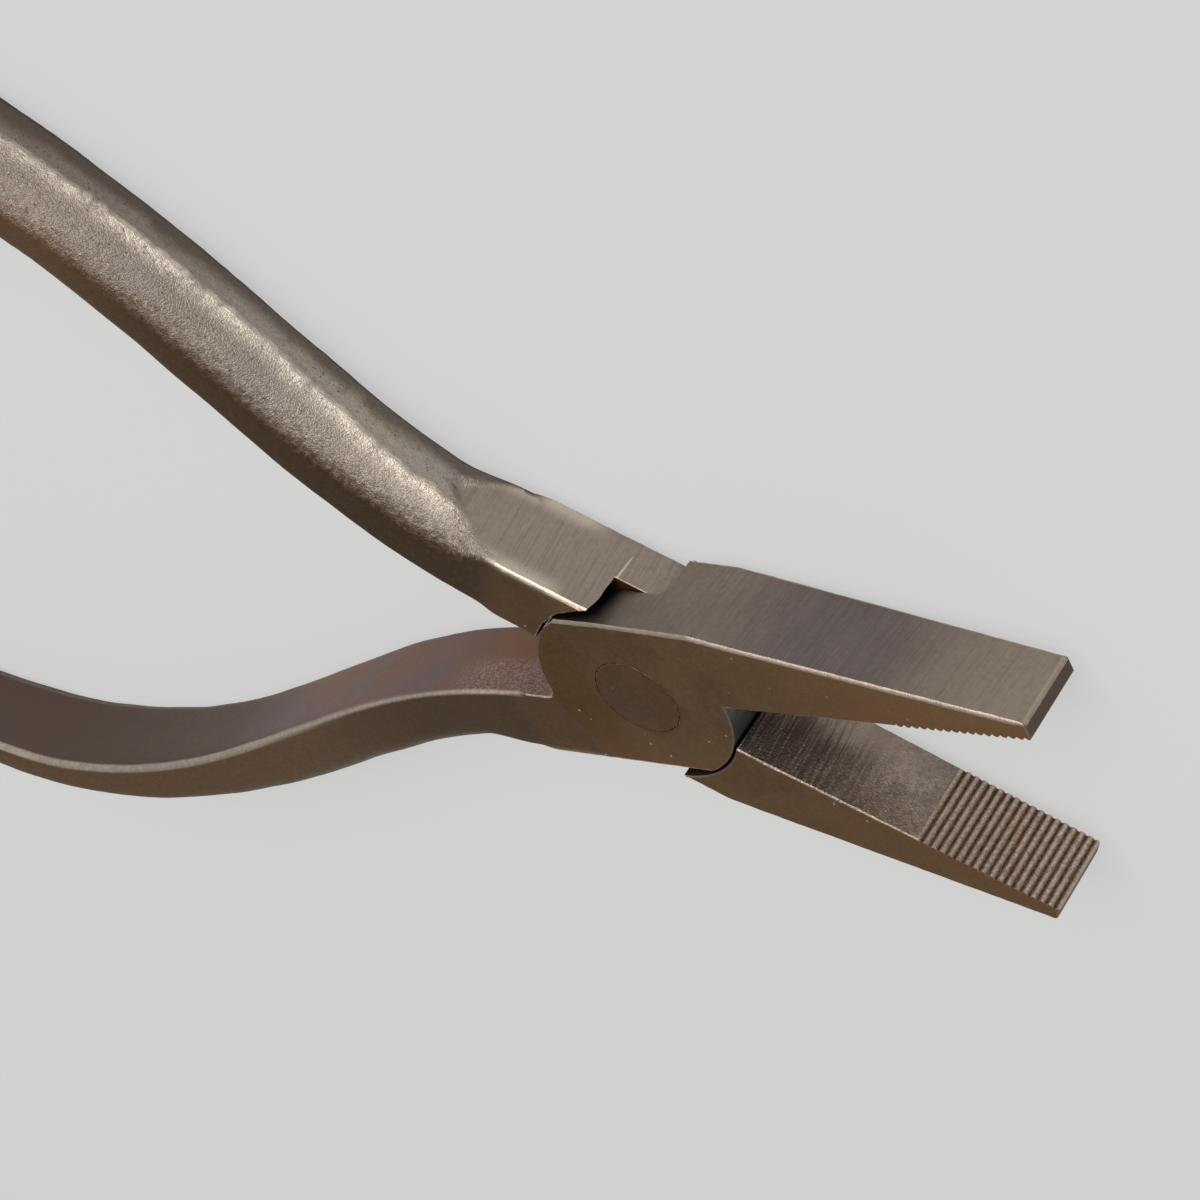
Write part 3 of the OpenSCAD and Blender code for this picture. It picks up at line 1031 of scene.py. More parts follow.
class NodeSheet:
    """Adds nodes to one node tree, so that an effect or a finish reads as a list of steps."""

    def __init__(self, tree: bpy.types.NodeTree) -> None:
        """Takes the tree that the nodes go into."""
        self.tree = tree

    def add(self, kind: str, **settings: object) -> bpy.types.Node:
        """Adds one node and sets its options."""
        node = self.tree.nodes.new(kind)
        for name, value in settings.items():
            setattr(node, name, value)
        return node

    def feed(self, socket: Socket, value: object) -> None:
        """Links a socket to another one, or sets its value."""
        if isinstance(value, bpy.types.NodeSocket):
            self.tree.links.new(value, socket)
        else:
            socket.default_value = value

    def math(self, operation: str, *values: Value, clamp: bool = False) -> Socket:
        """Result of a Math node."""
        node = self.add("ShaderNodeMath", operation=operation, use_clamp=clamp)
        for socket, value in zip(node.inputs, values):
            self.feed(socket, value)
        return node.outputs[0]

    def rise(self, value: Value, low: Value, high: Value, start: Value = 0.0, end: Value = 1.0) -> Socket:
        """Smooth step from start to end as a value passes from low to high."""
        node = self.add("ShaderNodeMapRange", interpolation_type="SMOOTHSTEP")
        for socket, given in zip(node.inputs, (value, low, high, start, end)):
            self.feed(socket, given)
        return node.outputs[0]

    def mix(self, share: Value, first: Socket | str, second: Socket | str) -> Socket:
        """Colour between two colours, each a socket or a hex colour code."""
        node = self.add("ShaderNodeMix", data_type="RGBA")
        for index, given in ((0, share), (6, first), (7, second)):
            self.feed(node.inputs[index], linear(given) if isinstance(given, str) else given)
        return node.outputs[2]

    def coats(self, colour: Socket, *coats: tuple[Value, Socket | str]) -> Socket:
        """Lays coats of (share, colour) over a first colour, one after another."""
        for share, coat in coats:
            colour = self.mix(share, colour, coat)
        return colour

    def blend(self, share: Value, first: Value, second: Value) -> Socket:
        """Number between two numbers."""
        node = self.add("ShaderNodeMix", data_type="FLOAT")
        for index, given in ((0, share), (2, first), (3, second)):
            self.feed(node.inputs[index], given)
        return node.outputs[0]

    def split(self, vector: Socket) -> tuple[Socket, Socket, Socket]:
        """The three parts of a vector."""
        node = self.add("ShaderNodeSeparateXYZ")
        self.feed(node.inputs[0], vector)
        return tuple(node.outputs)

    def join(self, x: Value, y: Value, z: Value) -> Socket:
        """Vector of three numbers."""
        node = self.add("ShaderNodeCombineXYZ")
        for socket, value in zip(node.inputs, (x, y, z)):
            self.feed(socket, value)
        return node.outputs[0]

    def scaled(self, vector: Socket, scale: Sequence[float], shift: float = 0.0) -> Socket:
        """A vector with each part scaled and shifted."""
        node = self.add("ShaderNodeVectorMath", operation="MULTIPLY_ADD")
        for socket, value in zip(node.inputs, (vector, tuple(scale), (shift,) * 3)):
            self.feed(socket, value)
        return node.outputs[0]

    def noise(self, place: Socket, scale: Value, detail: float = 3.0, roughness: float = 0.5,
              distortion: float = 0.0) -> Socket:
        """Soft noise from 0 to 1 at a place."""
        node = self.add("ShaderNodeTexNoise")
        self.feed(node.inputs["Vector"], place)
        for name, value in (("Scale", scale), ("Detail", detail), ("Roughness", roughness),
                            ("Distortion", distortion)):
            self.feed(node.inputs[name], value)
        return node.outputs["Fac"]

    def mask(self, name: str) -> Socket:
        """A surface mask that the mesh carries."""
        return self.add("ShaderNodeAttribute", attribute_name=name).outputs["Fac"]

    def effect(self, tree: bpy.types.NodeTree, **inputs: object) -> bpy.types.Node:
        """Places an effect group and feeds its inputs, whose names have underscores for spaces."""
        node = self.add("ShaderNodeGroup", node_tree=tree)
        for name, value in inputs.items():
            self.feed(node.inputs[name.replace("_", " ").capitalize()], value)
        return node


class Effect:
    """Starts a shader node group with named inputs and outputs."""

    def __init__(self, name: str, inputs: dict[str, float | None], outputs: Sequence[str]) -> None:
        """Makes the group; an input with no number is a vector."""
        self.tree = bpy.data.node_groups.new(name, "ShaderNodeTree")
        for label, default in inputs.items():
            kind = "NodeSocketVector" if default is None else "NodeSocketFloat"
            socket = self.tree.interface.new_socket(name=label, in_out="INPUT", socket_type=kind)
            if default is not None:
                socket.default_value = default
        for label in outputs:
            self.tree.interface.new_socket(name=label, in_out="OUTPUT", socket_type="NodeSocketFloat")
        self.sheet = NodeSheet(self.tree)
        self.given = self.sheet.add("NodeGroupInput").outputs
        self.made = self.sheet.add("NodeGroupOutput").inputs


def grinding_marks() -> bpy.types.NodeTree:
    """Fine scratches of a grinding wheel, running across a face along the Z axis."""
    e = Effect("grinding marks", {"Place": None, "Spacing": 0.2, "Lean": 0.0}, ["Streaks", "Height"])
    s = e.sheet
    x, y, z = s.split(e.given["Place"])
    run = s.math("MULTIPLY_ADD", z, e.given["Lean"], x)
    fine = s.math("DIVIDE", run, e.given["Spacing"])
    side = s.math("DIVIDE", y, e.given["Spacing"])
    close = s.noise(s.join(fine, side, s.math("MULTIPLY", z, 0.16)), 1.0, 2.0, 0.6)
    broad = s.noise(s.join(s.math("MULTIPLY", fine, 0.22), side, s.math("MULTIPLY", z, 0.1)), 1.0, 2.0, 0.5)
    streaks = s.math("MULTIPLY_ADD", broad, 0.25, s.math("MULTIPLY", close, 0.75))
    s.feed(e.made["Streaks"], s.rise(streaks, 0.3, 0.7))
    s.feed(e.made["Height"], s.math("MULTIPLY", streaks, s.math("MULTIPLY", e.given["Spacing"], 0.1)))
    return e.tree


def patina_clouds() -> bpy.types.NodeTree:
    """Blotches of an old steel surface: broad clouds, small mottle, dark flecks and single pale specks."""
    e = Effect("patina clouds", {"Place": None, "Size": 4.0}, ["Clouds", "Mottle", "Flecks", "Specks"])
    s = e.sheet
    wide = s.math("DIVIDE", 1.0, e.given["Size"])
    s.feed(e.made["Clouds"], s.rise(s.noise(e.given["Place"], wide, 3.0, 0.55, 0.3), 0.34, 0.66))
    small = s.math("MULTIPLY", wide, 9.0)
    s.feed(e.made["Mottle"], s.rise(s.noise(e.given["Place"], small, 4.0, 0.65), 0.3, 0.7))
    s.feed(e.made["Flecks"], s.rise(s.noise(e.given["Place"], 3.4, 2.0, 0.7), 0.66, 0.76))
    cells = s.add("ShaderNodeTexVoronoi", feature="F1")
    s.feed(cells.inputs["Vector"], e.given["Place"])
    s.feed(cells.inputs["Scale"], 1.3)
    chosen = s.rise(s.split(cells.outputs["Color"])[0], 0.95, 0.96)
    s.feed(e.made["Specks"], s.math("MULTIPLY", chosen, s.rise(cells.outputs["Distance"], 0.2, 0.1)))
    return e.tree


def pitting() -> bpy.types.NodeTree:
    """Small corrosion pits and the rough skin between them."""
    e = Effect("pitting", {"Place": None, "Size": 0.5, "Amount": 0.5}, ["Pits", "Height"])
    s = e.sheet
    scale = s.math("DIVIDE", 1.0, e.given["Size"])
    cells = s.add("ShaderNodeTexVoronoi", feature="SMOOTH_F1")
    for name, value in (("Vector", e.given["Place"]), ("Scale", scale), ("Smoothness", 0.4),
                        ("Randomness", 1.0)):
        s.feed(cells.inputs[name], value)
    skin = s.noise(e.given["Place"], s.math("MULTIPLY", scale, 1.3), 2.0, 0.6)
    chosen = s.rise(s.noise(e.given["Place"], s.math("MULTIPLY", scale, 0.45), 2.0, 0.5), 0.62, 0.38)
    reach = s.math("MULTIPLY", s.math("MULTIPLY", chosen, e.given["Amount"]), 0.75)
    pits = s.rise(cells.outputs["Distance"], reach, s.math("MULTIPLY", reach, 0.2))
    s.feed(e.made["Pits"], pits)
    deep = s.math("MULTIPLY", s.math("MULTIPLY", pits, e.given["Size"]), -0.09)
    rough = s.math("MULTIPLY", s.math("MULTIPLY", skin, e.given["Size"]), 0.3)
    s.feed(e.made["Height"], s.math("ADD", deep, rough))
    return e.tree


def edge_wear() -> bpy.types.NodeTree:
    """Bright metal along corners that hands, benches and other tools have rubbed, and on the handle's inner
    edges a painted highlight that the given mask adds.
    """
    e = Effect("edge wear", {"Place": None, "Worn": 0.0, "Reach": 0.25, "Chips": 0.5}, ["Wear"])
    s = e.sheet
    rounded = s.add("ShaderNodeBevel", samples=6)
    s.feed(rounded.inputs["Radius"], s.math("MULTIPLY", e.given["Reach"], MM))
    flat = s.add("ShaderNodeNewGeometry").outputs["Normal"]
    turn = s.add("ShaderNodeVectorMath", operation="DOT_PRODUCT")
    s.feed(turn.inputs[0], rounded.outputs[0])
    s.feed(turn.inputs[1], flat)
    corner = s.rise(turn.outputs["Value"], 0.995, 0.86)
    broken = s.noise(e.given["Place"], 2.3, 4.0, 0.7)
    kept = s.math("MULTIPLY", s.rise(broken, 0.7, 0.35), e.given["Chips"])
    edge = s.math("MULTIPLY", corner, s.rise(broken, 0.42, 0.66))
    worn = s.math("MULTIPLY", e.given["Worn"], s.math("SUBTRACT", 1.0, kept))
    s.feed(e.made["Wear"], s.math("MAXIMUM", worn, edge, clamp=True))
    return e.tree


def painted_corner_shade() -> bpy.types.NodeTree:
    """Painted shade: darkening in corners, in recesses and behind the joint, from ambient occlusion."""
    e = Effect("corner grime", {"Place": None, "Reach": 2.0}, ["Grime"])
    s = e.sheet
    shut = s.add("ShaderNodeAmbientOcclusion", samples=8)
    s.feed(shut.inputs["Distance"], s.math("MULTIPLY", e.given["Reach"], MM))
    rough = s.noise(e.given["Place"], 1.7, 3.0, 0.6)
    depth = s.math("MULTIPLY_ADD", rough, 0.25, shut.outputs["AO"])
    s.feed(e.made["Grime"], s.rise(depth, 0.92, 0.45))
    return e.tree


@dataclass(frozen=True)
class Effects:
    """The effect groups that the steel finishes share."""

    grinding: bpy.types.NodeTree
    clouds: bpy.types.NodeTree
    pits: bpy.types.NodeTree
    wear_and_sheen: bpy.types.NodeTree
    painted_shade: bpy.types.NodeTree

    @classmethod
    def make(cls) -> "Effects":
        """Builds each group once."""
        return cls(grinding_marks(), patina_clouds(), pitting(), edge_wear(), painted_corner_shade())


class SteelSheet(NodeSheet):
    """Node sheet of one steel material, with the place, facing, masks and effects that its colours use."""

    SIDE_TURN: Range = (0.5, 0.92)
    OUTWARD_TURN: Range = (0.2, -0.5)
    INWARD_TURN: Range = (0.2, 0.6)
    ROOT_X: Range = (-9.2, -10.0)
    FINE_SPREAD: Range = (0.3, 0.7)
    ROUND_END_X: Range = (-3.0, -5.5)
    ROUND_END_TURN: Range = (-0.9, -0.6)
    ROUND_END_REACH: Range = (9.9, 9.7)

    def __init__(self, tree: bpy.types.NodeTree, effects: Effects, placement: Matrix) -> None:
        """Reads the surface in the piece's own frame.

        Args:
            tree: The material's node tree.
            effects: The shared effect groups.
            placement: Turn and lift from the piece's own frame to the shared frame, in millimetres.
        """
        super().__init__(tree)
        coordinates = self.add("ShaderNodeTexCoord").outputs
        back = placement.inverted()
        own = self.add("ShaderNodeMapping")
        for socket, value in (("Vector", coordinates["Object"]), ("Location", back.translation),
                              ("Rotation", back.to_euler("XYZ")), ("Scale", (1 / MM,) * 3)):
            self.feed(own.inputs[socket], value)
        facing = self.add("ShaderNodeMapping", vector_type="NORMAL")
        self.feed(facing.inputs["Vector"], coordinates["Normal"])
        self.feed(facing.inputs["Rotation"], back.to_euler("XYZ"))
        self.place = own.outputs[0]
        self.x, self.y, self.z = self.split(self.place)
        self.nx, self.ny, nz = self.split(facing.outputs[0])
        self.upright = self.math("ABSOLUTE", nz)
        self.side = self.rise(self.upright, *self.SIDE_TURN)
        self.outward = self.rise(self.ny, *self.OUTWARD_TURN)
        square = self.math("MULTIPLY_ADD", self.x, self.x, self.math("POWER", self.y, 2.0))
        self.reach = self.math("SQRT", square)
        self.forged, self.cut, self.grooved, self.brushed, self.flash = [
            self.mask(name) for name in ("forged", "cut", "grooved", "brushed", "flash")]
        uncut = self.math("SUBTRACT", 1.0, self.cut)
        inside_root = self.both(self.rise(self.ny, *self.INWARD_TURN), self.rise(self.x, *self.ROOT_X))
        self.forged = self.math("MAXIMUM", self.forged, self.both(inside_root, uncut))
        self.clouds = self.effect(effects.clouds, place=self.place, size=4.5).outputs
        self.wide_clouds = self.effect(effects.clouds, place=self.place, size=11.0).outputs
        self.marks = self.effect(effects.grinding, place=self.place, spacing=0.16, lean=0.1).outputs
        self.scores = self.effect(effects.grinding, place=self.place, spacing=0.34, lean=0.05).outputs
        self.pits = self.effect(effects.pits, place=self.place, size=0.4, amount=0.5).outputs
        self.skin = self.effect(effects.pits, place=self.place, size=0.2, amount=0.3).outputs
        # rubbed edges, with the painted highlight on the handle's inner edges
        wear_and_sheen = self.effect(effects.wear_and_sheen, place=self.place, worn=self.mask("worn"), reach=0.16, chips=0.35)
        self.wear_and_sheen = self.both(wear_and_sheen.outputs["Wear"], uncut)
        self.fine = self.rise(self.noise(self.place, 5.0, 2.0, 0.6), *self.FINE_SPREAD)
        # painted shade: ambient occlusion darkens corners and the joint
        self.painted_shade = self.effect(effects.painted_shade, place=self.place, reach=2.2).outputs["Grime"]
        outer = self.rise(self.ny, *self.ROUND_END_TURN)
        beside_root = self.both(self.rise(self.x, *self.ROUND_END_X), outer)
        self.round_end = self.both(self.rise(self.reach, *self.ROUND_END_REACH), beside_root)

    def share(self, mask: Value, amount: float) -> Socket:
        """A part of a mask."""
        return self.math("MULTIPLY", mask, amount)

    def both(self, first: Value, second: Value) -> Socket:
        """Where two masks meet."""
        return self.math("MULTIPLY", first, second)


@dataclass(frozen=True)
class SteelColours:
    """Colours of aged bare steel: brown patina, greyer ground edges, forged skin, bare metal and rust, and
    the dark colours of the painted shade.
    """

    side_brown: str = "#8b6948"
    side_dark: str = "#644c33"
    side_jaw: str = "#9b7650"
    side_handle: str = "#866748"
    # colour of the painted shade below the handle's front edge
    side_shade: str = "#4d3824"
    speck: str = "#d9cdbf"
    ring_rust: str = "#7a4826"
    ground_grey: str = "#94867a"
    ground_cool: str = "#776b6b"
    ground_tip: str = "#aa9b8b"
    ground_light: str = "#bdae9f"
    end_wall: str = "#5d4f47"
    tip_wall: str = "#6a594f"
    plate_wall: str = "#7f8587"
    work_shade: str = "#87715f"
    # colour of the painted shade beside the joint
    work_middle: str = "#a68b78"
    work_light: str = "#d6c1b0"
    work_cool: str = "#8a7f80"
    forged_light: str = "#cbbdae"
    forged_dark: str = "#87776a"
    forged_cool: str = "#a5a4a8"
    forged_back: str = "#5f5147"
    flash: str = "#eee0cf"
    inner_brown: str = "#916d58"
    inner_cool: str = "#836d6c"
    inner_patch: str = "#c0a6a0"
    groove_crest: str = "#d8c2ad"
    groove_root: str = "#675548"
    bare: str = "#c9b9a8"
    rust: str = "#642f1d"
    bright_rust: str = "#a0583a"
    # near-black colour of the painted shade in corners
    painted_shade: str = "#1d1510"


@dataclass(frozen=True)
class SidePaint:
    """Flat front and back: smooth brown patina with fine mottle, a little rust and a few pale specks."""

    clouds: float = 0.32
    mottle: float = 0.3
    least_dark: float = 0.12
    joint_x: Range = (2.0, -6.0, 0.0, 0.35)
    step_y: Range = (-2.0, -8.0, 0.0, 0.4)
    step_x: Range = (-10.0, -6.0)
    jaw_x: Range = (4.0, 36.0, 0.0, 0.9)
    jaw_z: Range = (-1.0, 1.0, 0.55, 1.0)
    fine: Range = (0.4, 1.0, 0.0, 0.2)
    rubbed_y: Range = (-7.5, -8.4, 0.0, 0.65)
    rubbed_and_sheen_x: Range = (-6.0, -10.0)
    grip_y: Range = (1.7, 0.1)
    grip_x: Range = (14.0, 28.0)
    foot_y: Range = (-7.0, -8.2)
    foot_x: Range = (-8.0, -3.0)
    rust: Range = (0.1, 0.9, 0.06, 0.32)
    specks: float = 0.8

    def colour(self, s: SteelSheet, c: SteelColours) -> Socket:
        """Colour of the flat sides."""
        mottle = s.share(s.clouds["Mottle"], self.mottle)
        uneven = s.math("MULTIPLY_ADD", s.clouds["Clouds"], self.clouds, mottle)
        grip_edge = s.both(s.rise(s.y, *self.grip_y), s.rise(s.x, *self.grip_x))
        plate_foot = s.both(s.rise(s.y, *self.foot_y), s.rise(s.x, *self.foot_x))
        rust_edges = s.math("MAXIMUM", grip_edge, plate_foot)
        return s.coats(
            s.mix(s.math("ADD", uneven, self.least_dark), c.side_brown, c.side_dark),
            (s.rise(s.x, *self.joint_x), c.side_dark),
            (s.both(s.rise(s.y, *self.step_y), s.rise(s.x, *self.step_x)), c.side_jaw),
            (s.both(s.rise(s.x, *self.jaw_x), s.rise(s.z, *self.jaw_z)), c.side_jaw),
            (s.rise(s.fine, *self.fine), c.side_dark),
            (s.both(s.rise(s.y, *self.rubbed_y), s.rise(s.x, *self.rubbed_and_sheen_x)), c.bare),
            (s.both(rust_edges, s.rise(s.clouds["Mottle"], *self.rust)), c.bright_rust),
            (s.share(s.clouds["Specks"], self.specks), c.speck))


@dataclass(frozen=True)
class GroundPaint:
    """Ground edges and ends, which the wheel left with fine lines across them."""

    middle_start: Range = (10.0, 19.0)
    middle_end: Range = (31.0, 24.0)
    middle_cool: float = 0.75
    clouds: float = 0.3
    tip_x: Range = (25.0, 37.0)
    facet_x: Range = (1.5, -2.5)
    facet_turn: Range = (-0.6, -0.9)
    handle_x: Range = (-3.0, -9.0)
    handle_light: float = 0.6
    line_gain: float = 0.1
    lines: float = 0.16
    dark_lines: Range = (0.5, 0.1)
    mottle: float = 0.16
    tip_turn: Range = (0.6, 0.9)
    front_edge: Range = (2.3, 4.0, 0.0, 0.75)
    front_edge_x: Range = (-7.0, -10.0)
    round_end: float = 0.85
    plate_reach: Range = (9.6, 9.4)
    plate_x: Range = (2.0, 4.0)
    plate_y: Range = (7.0, 6.0)

    def colour(self, s: SteelSheet, c: SteelColours) -> Socket:
        """Colour of the ground edges."""
        middle = s.both(s.rise(s.x, *self.middle_start), s.rise(s.x, *self.middle_end))
        clouds = s.share(s.wide_clouds["Clouds"], self.clouds)
        cool = s.math("MINIMUM", s.math("MULTIPLY_ADD", middle, self.middle_cool, clouds), 1.0)
        facet_end = s.both(s.rise(s.x, *self.facet_x), s.rise(s.ny, *self.facet_turn))
        beside_handle = s.math("MAXIMUM", s.rise(s.x, *self.handle_x), facet_end)
        lines = s.math("MULTIPLY_ADD", beside_handle, self.line_gain, self.lines)
        front_edge = s.rise(s.math("ABSOLUTE", s.z), *self.front_edge)
        plate_corner = s.both(s.rise(s.x, *self.plate_x), s.rise(s.y, *self.plate_y))
        return s.coats(
            s.mix(cool, c.ground_grey, c.ground_cool),
            (s.rise(s.x, *self.tip_x), c.ground_tip),
            (s.share(beside_handle, self.handle_light), c.ground_light),
            (s.both(s.marks["Streaks"], lines), c.ground_light),
            (s.both(s.rise(s.marks["Streaks"], *self.dark_lines), lines), c.ground_cool),
            (s.share(s.clouds["Mottle"], self.mottle), c.end_wall),
            (s.rise(s.nx, *self.tip_turn), c.tip_wall),
            (s.both(s.rise(s.x, *self.front_edge_x), front_edge), c.flash),
            (s.share(s.round_end, self.round_end), c.end_wall),
            (s.both(s.rise(s.reach, *self.plate_reach), plate_corner), c.plate_wall))


@dataclass(frozen=True)
class WorkPaint:
    """The jaw's inner face: roughly scored, with painted shade darkest beside the joint and painted light on
    the far side near the root.
    """

    lean: float = 1.1
    middle_x: Range = (9.0, 17.0)
    light_x: Range = (16.0, 24.0)
    cool_x: Range = (22.0, 30.0, 0.0, 0.6)
    clouds: float = 0.45
    cloud_dark: Range = (0.4, 0.9, 0.0, 0.4)
    mottle_dark: Range = (0.3, 1.0, 0.0, 0.45)
    fine: Range = (0.5, 1.0, 0.0, 0.2)
    far_z: Range = (-0.5, 3.0)
    far_x: Range = (26.0, 16.0)
    painted_light_far: float = 0.85
    scores: Range = (0.2, 0.75)
    scored_x: Range = (23.0, 14.0, 0.1, 0.8)
    scored_z: Range = (3.5, 0.0, 0.3, 1.0)

    def colour(self, s: SteelSheet, c: SteelColours) -> Socket:
        """Colour of the inner face."""
        lean = s.math("MULTIPLY_ADD", s.z, self.lean, s.x)
        far_root = s.both(s.rise(s.z, *self.far_z), s.rise(s.x, *self.far_x))
        scored = s.both(s.rise(s.scores["Streaks"], *self.scores), s.rise(s.x, *self.scored_x))
        return s.coats(
            # painted shade: darkest beside the joint, lighter towards the tip
            s.mix(s.rise(lean, *self.middle_x), c.work_shade, c.work_middle),
            (s.rise(lean, *self.light_x), c.work_light),
            (s.rise(lean, *self.cool_x), c.work_cool),
            (s.share(s.wide_clouds["Clouds"], self.clouds), c.work_cool),
            (s.rise(s.clouds["Clouds"], *self.cloud_dark), c.end_wall),
            (s.rise(s.clouds["Mottle"], *self.mottle_dark), c.end_wall),
            (s.rise(s.fine, *self.fine), c.flash),
            # painted light on the far side near the root
            (s.share(far_root, self.painted_light_far), c.work_light),
            (s.both(scored, s.rise(s.z, *self.scored_z)), c.end_wall))


@dataclass(frozen=True)
class GripPaint:
    """Grip grooves: pale crests, dark bottoms and a little bright rust."""

    dark: Range = (0.6, 0.1, 0.0, 0.4)
    light: Range = (0.6, 1.0, 0.0, 0.35)
    wide_rust: Range = (0.4, 0.75)
    rust: Range = (0.45, 0.85)
    rust_x: Range = (27.0, 33.0, 0.0, 0.6)

    def colour(self, s: SteelSheet, c: SteelColours) -> Socket:
        """Colour of the grooves."""
        wide_rust = s.rise(s.wide_clouds["Mottle"], *self.wide_rust)
        rusty = s.both(wide_rust, s.rise(s.clouds["Mottle"], *self.rust))
        return s.coats(
            s.mix(s.grooved, c.groove_root, c.groove_crest),
            (s.rise(s.fine, *self.dark), c.groove_root),
            (s.rise(s.fine, *self.light), c.flash),
            (s.both(rusty, s.rise(s.x, *self.rust_x)), c.bright_rust))


@dataclass(frozen=True)
class HandlePaint:
    """Forged handle: pale pitted outside, brown inside and on the flat sides, with painted shade towards the
    back and below the front edge, and a painted highlight along the flash line.
    """

    mottle: float = 0.45
    clouds: float = 0.4
    near_light: Range = (-50.0, -28.0, 0.0, 0.08)
    far_dark: Range = (-30.0, -60.0, 0.0, 0.6)
    before_flash_z: Range = (-0.4, -1.8)
    before_flash_x: Range = (-60.0, -40.0, 0.0, 0.4)
    pits: float = 0.7
    back_clouds: float = 0.7
    # painted shade on the back of the handle
    back_shade_z: Range = (1.2, 3.1, 0.0, 0.75)
    inner_dark: Range = (-48.0, -64.0, 0.0, 0.75)
    patch_x: Range = (-25.0, -19.5)
    patch_z: Range = (-0.5, 1.0)
    patch: float = 0.6
    patch_fine: float = 0.9
    patch_mottle: float = 0.35
    speckle: Range = (0.5, 0.85)
    flat_x: Range = (-24.0, -50.0, 0.0, 0.8)
    flat_fine: Range = (0.45, 1.0, 0.0, 0.2)
    flat_mottle: Range = (0.3, 1.0, 0.0, 0.35)
    flat_rust: Range = (0.5, 0.9)
    flat_rust_x: Range = (-45.0, -65.0, 0.0, 0.2)
    # painted shade below the front edge: its heights, its reach along X and its share
    under_z: Range = (-1.5, -4.2)
    under_start: Range = (-62.0, -44.0)
    under_end: Range = (-13.0, -17.0)
    under: float = 0.55
    turn_mottle: float = 0.14
    turn_low: Range = (1.0, -1.0, 0.6, 0.72)
    turn_high: float = 1.07
    broken_gain: float = 0.9
    broken_least: float = 0.5
    # flash line painted bright: rubbed metal and partly a painted highlight, fading along X
    rubbed: Range = (0.12, 0.9, 0.0, 1.0)
    rubbed_and_sheen_x: Range = (-46.0, -68.0, 1.0, 0.45)

    def outside(self, s: SteelSheet, c: SteelColours) -> Socket:
        """Colour of the outer side: pale, pitted, with painted shade behind the flash line."""
        before_flash = s.both(s.rise(s.z, *self.before_flash_z), s.rise(s.x, *self.before_flash_x))
        behind = s.math("MULTIPLY_ADD", s.clouds["Clouds"], self.back_clouds, s.z)
        return s.coats(
            s.mix(s.share(s.clouds["Mottle"], self.mottle), c.forged_light, c.forged_dark),
            (s.share(s.wide_clouds["Clouds"], self.clouds), c.forged_cool),
            (s.rise(s.x, *self.near_light), c.flash),
            (s.rise(s.x, *self.far_dark), c.forged_dark),
            (before_flash, c.forged_dark),
            (s.share(s.pits["Pits"], self.pits), c.side_dark),
            # painted shade on the back of the handle, behind the flash line
            (s.rise(behind, *self.back_shade_z), c.forged_back))

    def inside(self, s: SteelSheet, c: SteelColours) -> Socket:
        """Colour of the inner side: brown, with a speckled pale patch beside the joint."""
        patch = s.both(s.rise(s.x, *self.patch_x), s.rise(s.z, *self.patch_z))
        mottle = s.share(s.clouds["Mottle"], self.patch_mottle)
        speckled = s.math("MULTIPLY_ADD", s.fine, self.patch_fine, mottle)
        return s.coats(
            s.mix(s.wide_clouds["Clouds"], c.inner_brown, c.inner_cool),
            (s.rise(s.x, *self.inner_dark), c.forged_back),
            (s.both(s.share(patch, self.patch), s.rise(speckled, *self.speckle)), c.inner_patch))

    def flats(self, s: SteelSheet, c: SteelColours) -> Socket:
        """Colour of the front and back: brown, with painted shade darkest below the front edge."""
        along = s.both(s.rise(s.x, *self.under_start), s.rise(s.x, *self.under_end))
        under = s.both(s.rise(s.z, *self.under_z), along)
        rusty = s.both(s.rise(s.wide_clouds["Mottle"], *self.flat_rust), s.rise(s.x, *self.flat_rust_x))
        return s.coats(
            s.mix(s.rise(s.x, *self.flat_x), c.side_dark, c.side_handle),
            (s.rise(s.fine, *self.flat_fine), c.side_jaw),
            (s.rise(s.clouds["Mottle"], *self.flat_mottle), c.forged_back),
            (rusty, c.bright_rust),
            # painted shade below the front edge
            (s.share(under, self.under), c.side_shade))

    def colour(self, s: SteelSheet, c: SteelColours) -> Socket:
        """Colour of the whole handle, with the flash line rubbed bright and a painted highlight along it and
        just in front of it.
        """
        forge = s.mix(s.outward, self.inside(s, c), self.outside(s, c))
        turned = s.math("MULTIPLY_ADD", s.clouds["Mottle"], self.turn_mottle, s.upright)
        flat = s.rise(turned, s.rise(s.z, *self.turn_low), self.turn_high)
        uneven = s.math("MULTIPLY_ADD", s.clouds["Mottle"], self.broken_gain, self.broken_least)
        # flash line rubbed bright, with a painted highlight along it and in front of it
        rubbed = s.both(s.rise(s.both(s.flash, uneven), *self.rubbed), s.rise(s.x, *self.rubbed_and_sheen_x))
        return s.coats(s.mix(flat, forge, self.flats(s, c)), (rubbed, c.flash))


@dataclass(frozen=True)
class Scratch:
    """Bright scratch that runs on from the step's corner across the outer edge."""

    x: float = 4.86
    lean: float = -0.03
    half_width: Range = (0.3, 2.6, 0.15, 0.08)
    core: float = 0.03
    start_z: Range = (-0.1, 0.1)
    end_z: Range = (2.7, 2.2)
    turn: Range = (-0.6, -0.9)

    def mask(self, s: SteelSheet) -> Socket:
        """Where the scratch lies, from 0 to 1."""
        off = s.math("ABSOLUTE", s.math("MULTIPLY_ADD", s.z, self.lean, s.math("ADD", s.x, self.x)))
        thin = s.rise(off, s.rise(s.z, *self.half_width), self.core)
        length = s.both(s.rise(s.z, *self.start_z), s.rise(s.z, *self.end_z))
        return s.both(s.both(thin, length), s.rise(s.ny, *self.turn))


